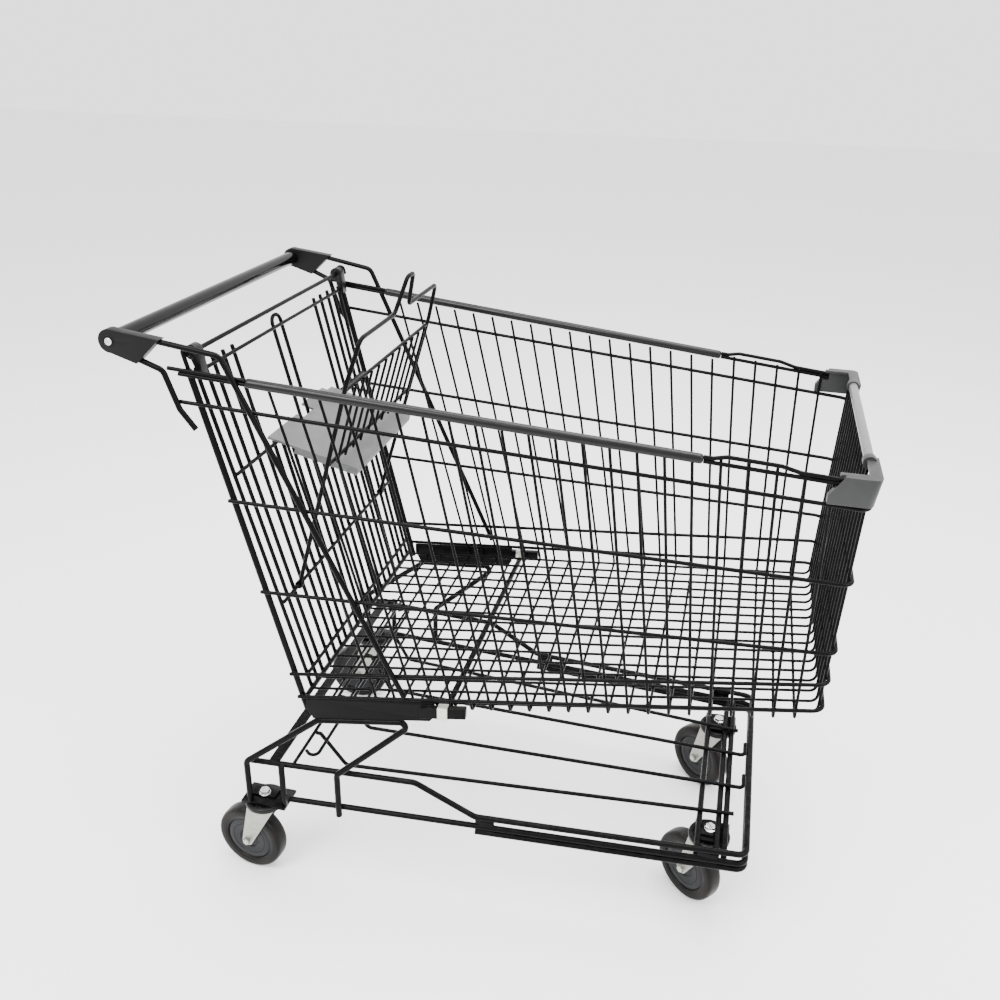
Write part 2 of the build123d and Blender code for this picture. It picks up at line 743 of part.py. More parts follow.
def caster_guard(corner):
    """Ring round the swivel head, against the underside of the plate."""
    middle = mount_low - weld_gap - guard_height / 2
    ring = Cylinder(guard_outer, guard_height) - Cylinder(guard_inner, guard_height)
    ring = fillet(ring.edges(), 3.5)
    return place_caster(corner, Pos(0, 0, middle) * ring, turn=False)


leg_inner = tyre_width / 2 + fork_side_gap


def caster_fork(corner):
    """Pressed fork: cap with the bolt hole and two tapered legs down to the axle."""
    cap_low = cap_top - fork_cap_thickness
    cap = Pos(0, 0, cap_low + fork_cap_thickness / 2) * Cylinder(fork_cap_radius, fork_cap_thickness)
    neck_low = wheel_radius
    reach = hypot(caster_trail, cap_low - neck_low)
    spread = asin((fork_leg_half - fork_eye) / reach)
    line = atan2(cap_low - neck_low, caster_trail)
    web = []
    for way in (1, -1):
        turn = line + way * (radians(90) + spread)
        web.append((-caster_trail + fork_eye * cos(turn), neck_low + fork_eye * sin(turn)))
    outline = [web[0], (-fork_leg_half - 1, cap_low + 1), (fork_leg_half, cap_low + 1), web[1]]
    body = cap
    for side in (1, -1):
        start = side * leg_inner
        plane = Plane(origin=(0, start, 0), x_dir=(1, 0, 0), z_dir=(0, -1, 0))
        shape = make_face(Polyline(*outline, close=True)) + Pos(-caster_trail, neck_low) * Circle(fork_eye)
        body += extrude(plane * shape, fork_sheet, dir=(0, side, 0))
    crown = block((-fork_leg_half, fork_leg_half), (-leg_inner - fork_sheet, leg_inner + fork_sheet),
                  (cap_low, cap_low + 1))
    body += crown
    body -= Pos(0, 0, cap_top) * Cylinder(kingpin_diameter / 2 + running_gap, 30)
    axle_hole = rod((-caster_trail, -fork_reach, neck_low), (-caster_trail, fork_reach, neck_low),
                    axle_diameter + 2 * weld_gap)
    return place_caster(corner, body - axle_hole)


def caster_axle(corner):
    """Axle bolt with its head and nut against the fork legs."""
    outer = leg_inner + fork_sheet + weld_gap
    middle = (-caster_trail, 0, wheel_radius)
    body = rod((middle[0], -outer - 6, middle[2]), (middle[0], outer + 2, middle[2]),
               axle_diameter)
    for side, height in ((1, 4.0), (-1, 5.0)):
        plane = Plane(origin=(middle[0], side * outer, middle[2]), z_dir=(0, side, 0))
        body += extrude(plane * RegularPolygon(6.5, 6), height)
    return place_caster(corner, body)


def wheel_hub(corner):
    """Moulded wheel centre with dished faces and a bored boss."""
    radius, half = hub_diameter / 2, tyre_width / 2 - 1
    boss_half = leg_inner - 0.4
    hub = Cylinder(radius, 2 * half)
    for side in (1, -1):
        dish = Cylinder(radius - 7, 4) - Cylinder(15, 4)
        hub -= Pos(0, 0, side * (half - 1)) * dish
    hub += Cylinder(9, 2 * boss_half)
    hub -= Cylinder(axle_diameter / 2 + running_gap, 60)
    return place_caster(corner, Pos(-caster_trail, 0, wheel_radius) * Rot(90, 0, 0) * hub)


def tyre(corner):
    """Rubber tread moulded on the wheel centre, with rounded shoulders."""
    ring = Cylinder(wheel_radius, tyre_width)
    ring = fillet(ring.edges().filter_by(GeomType.CIRCLE), 6)
    ring -= Cylinder(hub_diameter / 2 + weld_gap, tyre_width + 2)
    return place_caster(corner, Pos(-caster_trail, 0, wheel_radius) * Rot(90, 0, 0) * ring)


# ---- gate
hinge_step = upright_neck / 2 + hinge_bar_diameter / 2 + weld_gap
hinge_x = upright_x(hinge_bar_height) + hinge_step / cos(gate_lean)
rod_offset = gate_wire / 2 + gate_rod / 2 + weld_gap


def gate_half(z):
    """Half of the gate's width at a height."""
    share = (z - gate_foot_height) / (gate_top_height - gate_foot_height)
    return between(gate_foot_half, gate_top_half, share)


def gate_fan(share, low, high):
    """One gate wire at a share of the half width, between two heights."""
    return rod(*[(upright_x(z), share * gate_half(z), z) for z in (low, high)], gate_wire)


def hinge_bar():
    """Bar between the uprights that the gate hangs on."""
    half = half_width(hinge_x) - upright_half_step + 1
    return across(hinge_x, hinge_bar_height, half, hinge_bar_diameter)


def gate_frame():
    """Edge wires, top bar, the two rods that carry the seat, and the foot bars."""
    top_x, top_z = gate_point(gate_top_height, rod_offset)
    pieces = [gate_fan(side, gate_foot_height - 4, gate_top_height + 6) for side in (-1, 1)]
    pieces.append(across(top_x, top_z, gate_top_half + 4, gate_rod))
    for height in (seat_rod_height, back_pivot_height, gate_foot_height + 26, gate_foot_height):
        x, z = gate_point(height, rod_offset)
        pieces.append(across(x, z, gate_half(height) + 3, gate_rod))
    return pieces


def gate_wires():
    """Long wires beside the leg openings, a looped pair in the middle and short wires below."""
    pieces = []
    top, foot = gate_top_height + 9, gate_foot_height - 4
    beside_seat = max(0.58, (seat_width / 2 + 12) / gate_half(seat_rod_height))
    for share in (beside_seat, 0.69, 0.81, 0.905):
        pieces += [gate_fan(side * share, foot, top) for side in (-1, 1)]
    for share in (0.16, 0.27, 0.375, 0.475):
        pieces += [gate_fan(side * share, foot, seat_rod_height + 3) for side in (-1, 1)]
    loop_top, half = gate_top_height + gate_loop_rise, gate_loop_half
    loop = [(foot, -half), (loop_top, -half), (loop_top, half), (foot, half)]
    pieces.append(bent_bar([(upright_x(z), y, z) for z, y in loop], gate_wire, 13))
    return pieces


def hinge_block(side):
    """Plastic block clipped on the gate's top bar, bored for the hinge bar."""
    middle_y = side * gate_top_half
    top_x, top_z = gate_point(gate_top_height, rod_offset)
    plane = Plane(origin=(0, middle_y, 0), x_dir=(1, 0, 0), z_dir=(0, -1, 0))
    lobe = Pos(hinge_x, hinge_bar_height) * Circle(hinge_lobe)
    arm = make_face(Polyline((hinge_x - 6, hinge_bar_height), (hinge_x + hinge_lobe, hinge_bar_height),
                             (top_x + 8, top_z - 6), (top_x - 2.6, top_z - 6), (top_x - 2.6, top_z + 4),
                             close=True))
    body = extrude(plane * (lobe + arm), 8, both=True)
    far = side * (gate_top_half + hinge_clear)
    body -= rod((hinge_x, 0, hinge_bar_height), (hinge_x, far, hinge_bar_height),
                hinge_bar_diameter + 2 * running_gap)
    body -= rod((top_x, 0, top_z), (top_x, far, top_z), gate_rod + 2 * weld_gap)
    ends = [(upright_x(z), side * gate_half(z), z)
            for z in (gate_top_height - hinge_clear, gate_top_height + hinge_clear)]
    return body - rod(*ends, gate_wire + 2 * butt_gap)


# ---- child seat
seat_x, seat_z = gate_point(seat_rod_height, rod_offset)
pivot_x, pivot_z = gate_point(back_pivot_height, rod_offset)


def seat_plate():
    """Moulded seat with turned-down edges, resting on the seat rod and hooked under it between wires."""
    half = seat_width / 2
    barrel = gate_rod / 2 + 2.2
    low = gate_rod / 2 + 0.3
    slab = block((-seat_overhang, seat_depth), (-half, half), (low, low + seat_sheet))
    slab += block((-seat_tab_overhang, 0), seat_tab, (low, low + seat_sheet))
    slab -= block((-seat_overhang - 1, 0), (-seat_notch_half, seat_notch_half), (0, seat_lip))
    slab += block((seat_depth - 3, seat_depth), (-half, half), (low - seat_lip, low + 1))
    for side in (-1, 1):
        slab += block((rib_start, seat_depth), (side * half, side * (half - 3)), (low - seat_lip, low + 1))
    for share in (-0.5, 0, 0.5):
        slab += block((rib_start, seat_depth), (share * half - 1.5, share * half + 1.5),
                      (low - seat_lip + 2, low + 1))
    for middle in seat_hook_places:
        for side in (-1, 1):
            start, stop = side * middle - seat_hook_width / 2, side * middle + seat_hook_width / 2
            slab += rod((0, start, 0), (0, stop, 0), 2 * barrel)
    slab -= rod((0, -half - 1, 0), (0, half + 1, 0), gate_rod + 2 * running_gap)
    return Pos(seat_x, 0, seat_z) * Rot(0, seat_drop, 0) * slab


def back_point(distance, y):
    """Point in the plane of the seat back."""
    lean = radians(back_lean)
    return pivot_x + distance * sin(lean), y, pivot_z + distance * cos(lean)


def seat_back_frame():
    """Bent bar of the seat back with a hump on top and an eye at each foot."""
    eye_radius = gate_rod / 2 + 3.5
    near = [(eye_radius - 1, back_foot_half), (back_cross_distance, back_cross_half),
            (back_corner_distance, back_corner_half), (back_corner_distance, back_hump_foot),
            (back_hump_distance, back_hump_top)]
    points = [back_point(d, -y) for d, y in near] + [back_point(d, y) for d, y in reversed(near)]
    body = bent_bar(points, back_bar, [30, 14, 12, 10, 10, 12, 14, 30])
    for side in (-1, 1):
        start, stop = side * (back_foot_half - 5), side * (back_foot_half + 5)
        body += rod((pivot_x, start, pivot_z), (pivot_x, stop, pivot_z), 2 * eye_radius)
        body -= rod((pivot_x, start - side, pivot_z), (pivot_x, stop + side, pivot_z),
                    gate_rod + 2 * running_gap)
    return body


def back_half(distance):
    """Middle of the seat back's side bars at a distance from the pivot."""
    return between(back_foot_half, back_cross_half, distance / back_cross_distance)


def seat_back_wires():
    """Two cross wires between the side bars and the upright wires on them."""
    pieces = []
    for distance in (back_cross_distance - 12, back_low_cross_distance):
        half = back_half(distance) - back_bar / 2 - butt_gap
        pieces.append(rod(back_point(distance, -half), back_point(distance, half), rail_wire))
    lean = radians(back_lean)
    step = rail_wire / 2 + grid_wire / 2 + weld_gap
    shift = (step * cos(lean), 0, -step * sin(lean))
    for index in range(back_wire_count):
        y = between(-1, 1, (index + 1) / (back_wire_count + 1)) * back_cross_half
        ends = [Vector(*back_point(d, y)) + Vector(*shift)
                for d in (back_low_cross_distance - 4, back_cross_distance - 8)]
        pieces.append(rod(tuple(ends[0]), tuple(ends[1]), grid_wire))
    return pieces


def build():
    """Write every node."""
    os.makedirs("parts", exist_ok=True)
    save("handle_tube", handle_tube())
    save("handle_screws", *[handle_screw(side) for _, side in sides])
    for name, side in sides:
        save(f"handle_bracket_{name}", handle_bracket(side))
        save(f"support_frame_{name}", bent_bar(support_path(side), support_bar, 16))
        save(f"support_hook_{name}", bent_bar(hook_path(side), support_bar, [14, 14]))
        save(f"upright_{name}", upright(side))
        save(f"side_wires_{name}", *side_wires(side))
        save(f"side_rails_{name}", *side_rails(side))
        save(f"rim_tube_{name}", rim_tube(side))
        save(f"rim_wires_{name}", *rim_wires(side))
        save(f"corner_bumper_{name}", corner_bumper(side))
        save(f"side_plate_{name}", side_plate(side))
        save(f"rear_leg_{name}", rear_leg(side))
    save("basket_floor", *basket_floor())
    save("front_grid", *front_grid())
    save("front_tube", front_tube())
    save("plate_bands", *[plate_band(side) for _, side in sides])
    save("bottom_rail", bottom_rail(), second_rail())
    save("upper_rail", upper_rail())
    save("rail_posts", *rail_pads(), *[short_post(side) for _, side in sides])
    save("cross_bars", *cross_bars())
    save("front_cross_bars", *front_cross_bars())
    save("tray_wires", *tray_wires())
    corners = list(swivel_angles)
    save("caster_mounts", *[caster_mount(corner) for corner in corners])
    save("kingpins", *[kingpin(corner) for corner in corners])
    save("caster_guards", *[caster_guard(corner) for corner in corners])
    for corner in corners:
        save(f"fork_{corner}", caster_fork(corner))
        save(f"axle_{corner}", caster_axle(corner))
        save(f"wheel_hub_{corner}", wheel_hub(corner))
        save(f"tyre_{corner}", tyre(corner))
    save("hinge_bar", hinge_bar())
    save("gate_frame", *gate_frame())
    save("gate_wires", *gate_wires())
    save("hinge_blocks", *[hinge_block(side) for _, side in sides])
    save("seat_plate", seat_plate())
    save("seat_back_frame", seat_back_frame())
    save("seat_back_wires", *seat_back_wires())


build()
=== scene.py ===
"""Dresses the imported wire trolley: bent wires, welds, mouldings, casters, gate, finishes and studio.

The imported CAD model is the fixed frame. Straight and bent bars are read from it and drawn again as
coated wires with rounded tips and bent corners, mouldings are copies of the CAD solids with softened
edges, and turned pieces are drawn from their profiles. Lengths are in metres, +X towards the front
bumper, +Y to the trolley's left, +Z up.
"""
from __future__ import annotations

import json
import logging
import math
from dataclasses import dataclass, field
from enum import Enum

import bmesh
import bpy
import numpy as np
from mathutils import Matrix, Vector


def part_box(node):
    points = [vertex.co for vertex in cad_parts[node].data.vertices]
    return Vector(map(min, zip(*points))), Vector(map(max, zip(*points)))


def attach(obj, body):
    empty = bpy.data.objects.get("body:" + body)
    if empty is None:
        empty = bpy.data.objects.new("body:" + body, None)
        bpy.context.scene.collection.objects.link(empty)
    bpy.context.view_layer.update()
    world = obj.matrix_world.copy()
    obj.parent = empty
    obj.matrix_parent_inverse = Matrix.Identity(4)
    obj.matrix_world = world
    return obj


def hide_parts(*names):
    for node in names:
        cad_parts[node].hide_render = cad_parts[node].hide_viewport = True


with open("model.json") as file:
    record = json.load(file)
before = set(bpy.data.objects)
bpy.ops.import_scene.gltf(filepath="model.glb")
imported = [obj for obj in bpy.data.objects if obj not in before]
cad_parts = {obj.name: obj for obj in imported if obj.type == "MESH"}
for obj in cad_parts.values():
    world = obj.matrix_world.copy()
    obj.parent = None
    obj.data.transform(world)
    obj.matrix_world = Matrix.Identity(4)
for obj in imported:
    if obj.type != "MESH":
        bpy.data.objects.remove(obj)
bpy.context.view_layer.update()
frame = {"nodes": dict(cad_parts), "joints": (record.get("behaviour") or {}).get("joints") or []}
SIDES = ("left", "right")
CORNERS = ("rear_left", "rear_right", "front_left", "front_right")
MM = 0.001
ROUND_ENOUGH = 40              # vertices that even the coarsest round bar has
ALONG = 0.9                    # share of a bar's way that makes it run along an axis
CONTACT = 0.4 * MM             # gap below which two wires count as touching
LAMP_TARGET = (0.0, 0.0, 0.5)  # point that every lamp faces
log = logging.getLogger("trolley")


# ---------------------------------------------------------------- finishes
class Surface(Enum):
    """Kinds of surface that need their own pattern."""

    COATED = "coated"
    MOULDED = "moulded"
    PLATED = "plated"
    RUBBER = "rubber"


@dataclass(frozen=True)
class Finish:
    """Colour, gloss and wear of one material.

    Args:
        name: name of the material.
        slot: material slot of the record that it stands for.
        surface: kind of surface.
        colour: main colour, linear.
        worn: colour where the surface is rubbed.
        roughness: mean roughness.
        spread: how far blotches move the roughness.
        metallic: share of metal.
        specular: strength of the reflection, 0.5 for common plastic or paint.
        coat: clear coat weight.
        grain: spacing of the fine grain.
        grain_depth: height of the fine grain.
        edge_wear: amount of rubbing along edges.
        dust: amount of dust on faces that look up.
        scuffs: amount of fine rubbed marks.
    """

    name: str
    slot: str
    surface: Surface
    colour: tuple[float, float, float]
    worn: tuple[float, float, float]
    roughness: float
    spread: float = 0.1
    metallic: float = 0.0
    specular: float = 0.5
    coat: float = 0.0
    grain: float = 1.0 * MM
    grain_depth: float = 0.02 * MM
    edge_wear: float = 0.0
    dust: float = 0.1
    scuffs: float = 0.2


BLACK_WIRE = Finish("coated_black_wire", "black_steel", Surface.COATED, (0.0020, 0.0020, 0.0022),
                    (0.012, 0.012, 0.013), 0.28, 0.12, specular=0.05, grain=1.6 * MM, grain_depth=0.02 * MM,
                    dust=0.03, scuffs=0.2)
RIM_BLACK = Finish("coated_rim_tube", "rim_steel", Surface.COATED, (0.0030, 0.0030, 0.0032),
                   (0.02, 0.02, 0.021), 0.30, 0.12, specular=0.2, grain=1.8 * MM, grain_depth=0.03 * MM,
                   dust=0.05, scuffs=0.3)
HANDLE_GLOSS = Finish("gloss_handle_tube", "handle_gloss", Surface.COATED, (0.0016, 0.0016, 0.0018),
                      (0.014, 0.014, 0.015), 0.12, 0.06, specular=0.14, coat=0.06, grain=3.0 * MM,
                      grain_depth=0.02 * MM, dust=0.02, scuffs=0.2)
BRACKET_GREY = Finish("charcoal_bracket", "bracket_plastic", Surface.MOULDED, (0.0050, 0.0050, 0.0053),
                      (0.025, 0.025, 0.026), 0.46, 0.08, specular=0.1, grain=0.7 * MM, grain_depth=0.05 * MM,
                      edge_wear=0.4, dust=0.06, scuffs=0.2)
BUMPER_GREY = Finish("grey_bumper", "bumper_plastic", Surface.MOULDED, (0.019, 0.0195, 0.0195),
                     (0.09, 0.09, 0.09), 0.44, 0.08, specular=0.28, grain=0.7 * MM, grain_depth=0.05 * MM,
                     edge_wear=0.8, dust=0.08, scuffs=0.3)
TUBE_GREY = Finish("satin_grey_tube", "tube_grey", Surface.COATED, (0.100, 0.100, 0.098),
                   (0.2, 0.2, 0.2), 0.30, 0.08, coat=0.1, grain=2.0 * MM, grain_depth=0.02 * MM,
                   dust=0.06, scuffs=0.3)
PLATE_BLACK = Finish("black_side_plate", "plate_plastic", Surface.MOULDED, (0.0022, 0.0022, 0.0024),
                     (0.016, 0.016, 0.017), 0.36, 0.1, specular=0.05, grain=0.9 * MM, grain_depth=0.03 * MM,
                     edge_wear=0.5, dust=0.05, scuffs=0.25)
BAND_METAL = Finish("satin_band", "band_metal", Surface.PLATED, (0.62, 0.62, 0.56),
                    (0.8, 0.8, 0.76), 0.34, 0.1, metallic=0.9, grain=0.5 * MM, grain_depth=0.01 * MM,
                    edge_wear=0.3, dust=0.05, scuffs=0.3)
BOLT_CHROME = Finish("bright_bolt", "bolt_chrome", Surface.PLATED, (0.80, 0.80, 0.80),
                     (0.9, 0.9, 0.9), 0.14, 0.08, metallic=1.0, grain=0.6 * MM, grain_depth=0.005 * MM,
                     edge_wear=0.2, dust=0.02, scuffs=0.2)
SCREW_STEEL = Finish("bright_screw", "screw_steel", Surface.PLATED, (0.74, 0.74, 0.75),
                     (0.9, 0.9, 0.9), 0.22, 0.08, metallic=1.0, grain=0.5 * MM, grain_depth=0.005 * MM,
                     edge_wear=0.2, dust=0.02, scuffs=0.2)
GUARD_BLACK = Finish("black_guard_ring", "guard_plastic", Surface.MOULDED, (0.0022, 0.0022, 0.0024),
                     (0.014, 0.014, 0.015), 0.30, 0.08, specular=0.15, grain=0.8 * MM, grain_depth=0.03 * MM,
                     edge_wear=0.3, dust=0.05, scuffs=0.25)
FORK_ZINC = Finish("zinc_fork", "zinc", Surface.PLATED, (0.34, 0.34, 0.305),
                   (0.55, 0.55, 0.51), 0.36, 0.14, metallic=0.75, grain=0.6 * MM, grain_depth=0.01 * MM,
                   edge_wear=0.4, dust=0.1, scuffs=0.35)
AXLE_ZINC = Finish("zinc_axle", "axle_zinc", Surface.PLATED, (0.46, 0.46, 0.43),
                   (0.65, 0.65, 0.62), 0.25, 0.1, metallic=0.95, grain=0.5 * MM, grain_depth=0.01 * MM,
                   edge_wear=0.3, dust=0.03, scuffs=0.2)
HUB_GREY = Finish("dark_wheel_centre", "hub_plastic", Surface.MOULDED, (0.0085, 0.009, 0.010),
                  (0.03, 0.03, 0.032), 0.38, 0.1, specular=0.14, grain=0.8 * MM, grain_depth=0.03 * MM,
                  edge_wear=0.4, dust=0.1, scuffs=0.3)
TYRE_RUBBER = Finish("black_tyre", "tyre", Surface.RUBBER, (0.0032, 0.0029, 0.0027),
                     (0.017, 0.0135, 0.011), 0.38, 0.12, specular=0.1, grain=1.4 * MM, grain_depth=0.05 * MM,
                     dust=0.08, scuffs=0.4)
HINGE_BLACK = Finish("black_hinge_block", "hinge_plastic", Surface.MOULDED, (0.0032, 0.0032, 0.0034),
                     (0.02, 0.02, 0.021), 0.34, 0.08, specular=0.16, grain=0.8 * MM, grain_depth=0.03 * MM,
                     edge_wear=0.5, dust=0.05, scuffs=0.2)
SEAT_GREY = Finish("grey_seat", "seat_plastic", Surface.MOULDED, (0.085, 0.087, 0.086),
                   (0.2, 0.2, 0.2), 0.50, 0.08, specular=0.4, grain=0.8 * MM, grain_depth=0.06 * MM,
                   edge_wear=0.6, dust=0.05, scuffs=0.3)


class NodeSheet:
    """Adds and joins nodes in one node tree."""

    def __init__(self, tree: bpy.types.NodeTree) -> None:
        """Keep the tree.

        Args:
            tree: tree to fill.
        """
        self.tree = tree

    def add(self, kind: str, inputs: dict[str | int, object] | None = None,
            **settings: object) -> bpy.types.Node:
        """Add a node.

        Args:
            kind: Blender's name of the node type.
            inputs: socket name or index, and the value or output socket that goes into it.
            **settings: properties of the node.

        Returns:
            The node.
        """
        node = self.tree.nodes.new(kind)
        for name, value in settings.items():
            setattr(node, name, value)
        for name, value in (inputs or {}).items():
            if isinstance(value, bpy.types.NodeSocket):
                self.tree.links.new(value, node.inputs[name])
            else:
                node.inputs[name].default_value = value
        return node

    def math(self, operation: str, first: object, second: object = 0.0,
             clamp: bool = False) -> bpy.types.NodeSocket:
        """Add a Math node and give its output.

        Args:
            operation: Blender's name of the operation.
            first: value or socket.
            second: value or socket.
            clamp: keep the result between 0 and 1.

        Returns:
            The output socket.
        """
        return self.add("ShaderNodeMath", {0: first, 1: second}, operation=operation,
                        use_clamp=clamp).outputs[0]

    def ramp(self, value: bpy.types.NodeSocket, low: float, high: float) -> bpy.types.NodeSocket:
        """Stretch a range of a value to 0..1, smoothly.

        Args:
            value: socket to read.
            low: value that becomes 0.
            high: value that becomes 1.

        Returns:
            The output socket.
        """
        node = self.add("ShaderNodeMapRange", {"Value": value, "From Min": low, "From Max": high},
                        interpolation_type="SMOOTHSTEP")
        return node.outputs["Result"]


def new_group(name: str, kind: str, sockets: list[tuple[str, str, str, object]]) -> bpy.types.NodeTree:
    """Make a node group with named sockets.

    Args:
        name: name of the group.
        kind: tree type.
        sockets: direction ("INPUT" or "OUTPUT"), name, socket type and default of each socket.

    Returns:
        The empty group.
    """
    tree = bpy.data.node_groups.new(name, kind)
    for way, label, socket_type, default in sockets:
        socket = tree.interface.new_socket(name=label, in_out=way, socket_type=socket_type)
        if default is not None:
            socket.default_value = default
    return tree


class Effects:
    """Shader node groups that several finishes share."""

    def __init__(self) -> None:
        """Build the groups."""
        self.grain = self._grain()
        self.edge_wear = self._edge_wear()
        self.dust = self._dust()
        self.scuffs = self._scuffs()
        self.spangle = self._spangle()

    def _grain(self) -> bpy.types.NodeTree:
        """Fine grain and broad blotches."""
        tree = new_group("surface_grain", "ShaderNodeTree", [
            ("INPUT", "Position", "NodeSocketVector", None), ("INPUT", "Spacing", "NodeSocketFloat", 0.001),
            ("OUTPUT", "Grain", "NodeSocketFloat", None), ("OUTPUT", "Blotch", "NodeSocketFloat", None)])
        sheet = NodeSheet(tree)
        inside = sheet.add("NodeGroupInput")
        fine_scale = sheet.math("DIVIDE", 1.0, inside.outputs["Spacing"])
        fine = sheet.add("ShaderNodeTexNoise", {"Vector": inside.outputs["Position"], "Scale": fine_scale,
                                                "Detail": 3.0, "Roughness": 0.55})
        broad = sheet.add("ShaderNodeTexNoise", {"Vector": inside.outputs["Position"], "Scale": 38.0,
                                                 "Detail": 4.0, "Roughness": 0.6})
        out = sheet.add("NodeGroupOutput")
        tree.links.new(fine.outputs["Fac"], out.inputs["Grain"])
        tree.links.new(sheet.ramp(broad.outputs["Fac"], 0.3, 0.7), out.inputs["Blotch"])
        return tree

    def _edge_wear(self) -> bpy.types.NodeTree:
        """Mask that is high along broken-up convex edges."""
        tree = new_group("edge_wear", "ShaderNodeTree", [
            ("INPUT", "Position", "NodeSocketVector", None), ("INPUT", "Reach", "NodeSocketFloat", 0.0012),
            ("INPUT", "Amount", "NodeSocketFloat", 0.5), ("OUTPUT", "Mask", "NodeSocketFloat", None)])
        sheet = NodeSheet(tree)
        inside = sheet.add("NodeGroupInput")
        soft = sheet.add("ShaderNodeBevel", {"Radius": inside.outputs["Reach"]}, samples=4)
        sharp = sheet.add("ShaderNodeNewGeometry")
        match = sheet.add("ShaderNodeVectorMath", {0: soft.outputs["Normal"], 1: sharp.outputs["Normal"]},
                          operation="DOT_PRODUCT")
        edge = sheet.ramp(sheet.math("SUBTRACT", 1.0, match.outputs["Value"]), 0.01, 0.16)
        chips = sheet.add("ShaderNodeTexNoise", {"Vector": inside.outputs["Position"], "Scale": 260.0,
                                                 "Detail": 5.0, "Roughness": 0.65})
        broken = sheet.math("MULTIPLY", edge, sheet.ramp(chips.outputs["Fac"], 0.38, 0.62))
        out = sheet.add("NodeGroupOutput")
        mask = sheet.math("MULTIPLY", broken, inside.outputs["Amount"], clamp=True)
        tree.links.new(mask, out.inputs["Mask"])
        return tree

    def _dust(self) -> bpy.types.NodeTree:
        """Mask of dust that lies on faces that look up."""
        tree = new_group("settled_dust", "ShaderNodeTree", [
            ("INPUT", "Position", "NodeSocketVector", None), ("INPUT", "Amount", "NodeSocketFloat", 0.1),
            ("OUTPUT", "Mask", "NodeSocketFloat", None)])
        sheet = NodeSheet(tree)
        inside = sheet.add("NodeGroupInput")
        facing = sheet.add("ShaderNodeNewGeometry")
        split = sheet.add("ShaderNodeSeparateXYZ", {0: facing.outputs["Normal"]})
        up = sheet.ramp(split.outputs["Z"], 0.35, 1.0)
        patch = sheet.add("ShaderNodeTexNoise", {"Vector": inside.outputs["Position"], "Scale": 70.0,
                                                 "Detail": 6.0, "Roughness": 0.7})
        settled = sheet.math("MULTIPLY", up, sheet.ramp(patch.outputs["Fac"], 0.35, 0.75))
        out = sheet.add("NodeGroupOutput")
        mask = sheet.math("MULTIPLY", settled, inside.outputs["Amount"], clamp=True)
        tree.links.new(mask, out.inputs["Mask"])
        return tree

    def _scuffs(self) -> bpy.types.NodeTree:
        """Mask of fine rubbed marks."""
        tree = new_group("fine_scuffs", "ShaderNodeTree", [
            ("INPUT", "Position", "NodeSocketVector", None), ("INPUT", "Amount", "NodeSocketFloat", 0.2),
            ("OUTPUT", "Mask", "NodeSocketFloat", None)])
        sheet = NodeSheet(tree)
        inside = sheet.add("NodeGroupInput")
        stretched = sheet.add("ShaderNodeMapping", {
            "Vector": inside.outputs["Position"], "Rotation": (0.4, 0.7, 0.2), "Scale": (60.0, 700.0, 500.0)})
        marks = sheet.add("ShaderNodeTexNoise", {"Vector": stretched.outputs["Vector"], "Scale": 1.0,
                                                 "Detail": 3.0, "Roughness": 0.6})
        patch = sheet.add("ShaderNodeTexNoise", {"Vector": inside.outputs["Position"], "Scale": 22.0,
                                                 "Detail": 2.0})
        thin = sheet.math("MULTIPLY", sheet.ramp(marks.outputs["Fac"], 0.6, 0.72),
                          sheet.ramp(patch.outputs["Fac"], 0.45, 0.7))
        out = sheet.add("NodeGroupOutput")
        tree.links.new(sheet.math("MULTIPLY", thin, inside.outputs["Amount"], clamp=True), out.inputs["Mask"])
        return tree

    def _spangle(self) -> bpy.types.NodeTree:
        """Crystal pattern of plated metal."""
        tree = new_group("plating_spangle", "ShaderNodeTree", [
            ("INPUT", "Position", "NodeSocketVector", None), ("OUTPUT", "Cells", "NodeSocketFloat", None)])
        sheet = NodeSheet(tree)
        inside = sheet.add("NodeGroupInput")
        cells = sheet.add("ShaderNodeTexVoronoi", {"Vector": inside.outputs["Position"], "Scale": 220.0})
        tint = sheet.add("ShaderNodeSeparateColor", {"Color": cells.outputs["Color"]})
        out = sheet.add("NodeGroupOutput")
        tree.links.new(tint.outputs[0], out.inputs["Cells"])
        return tree


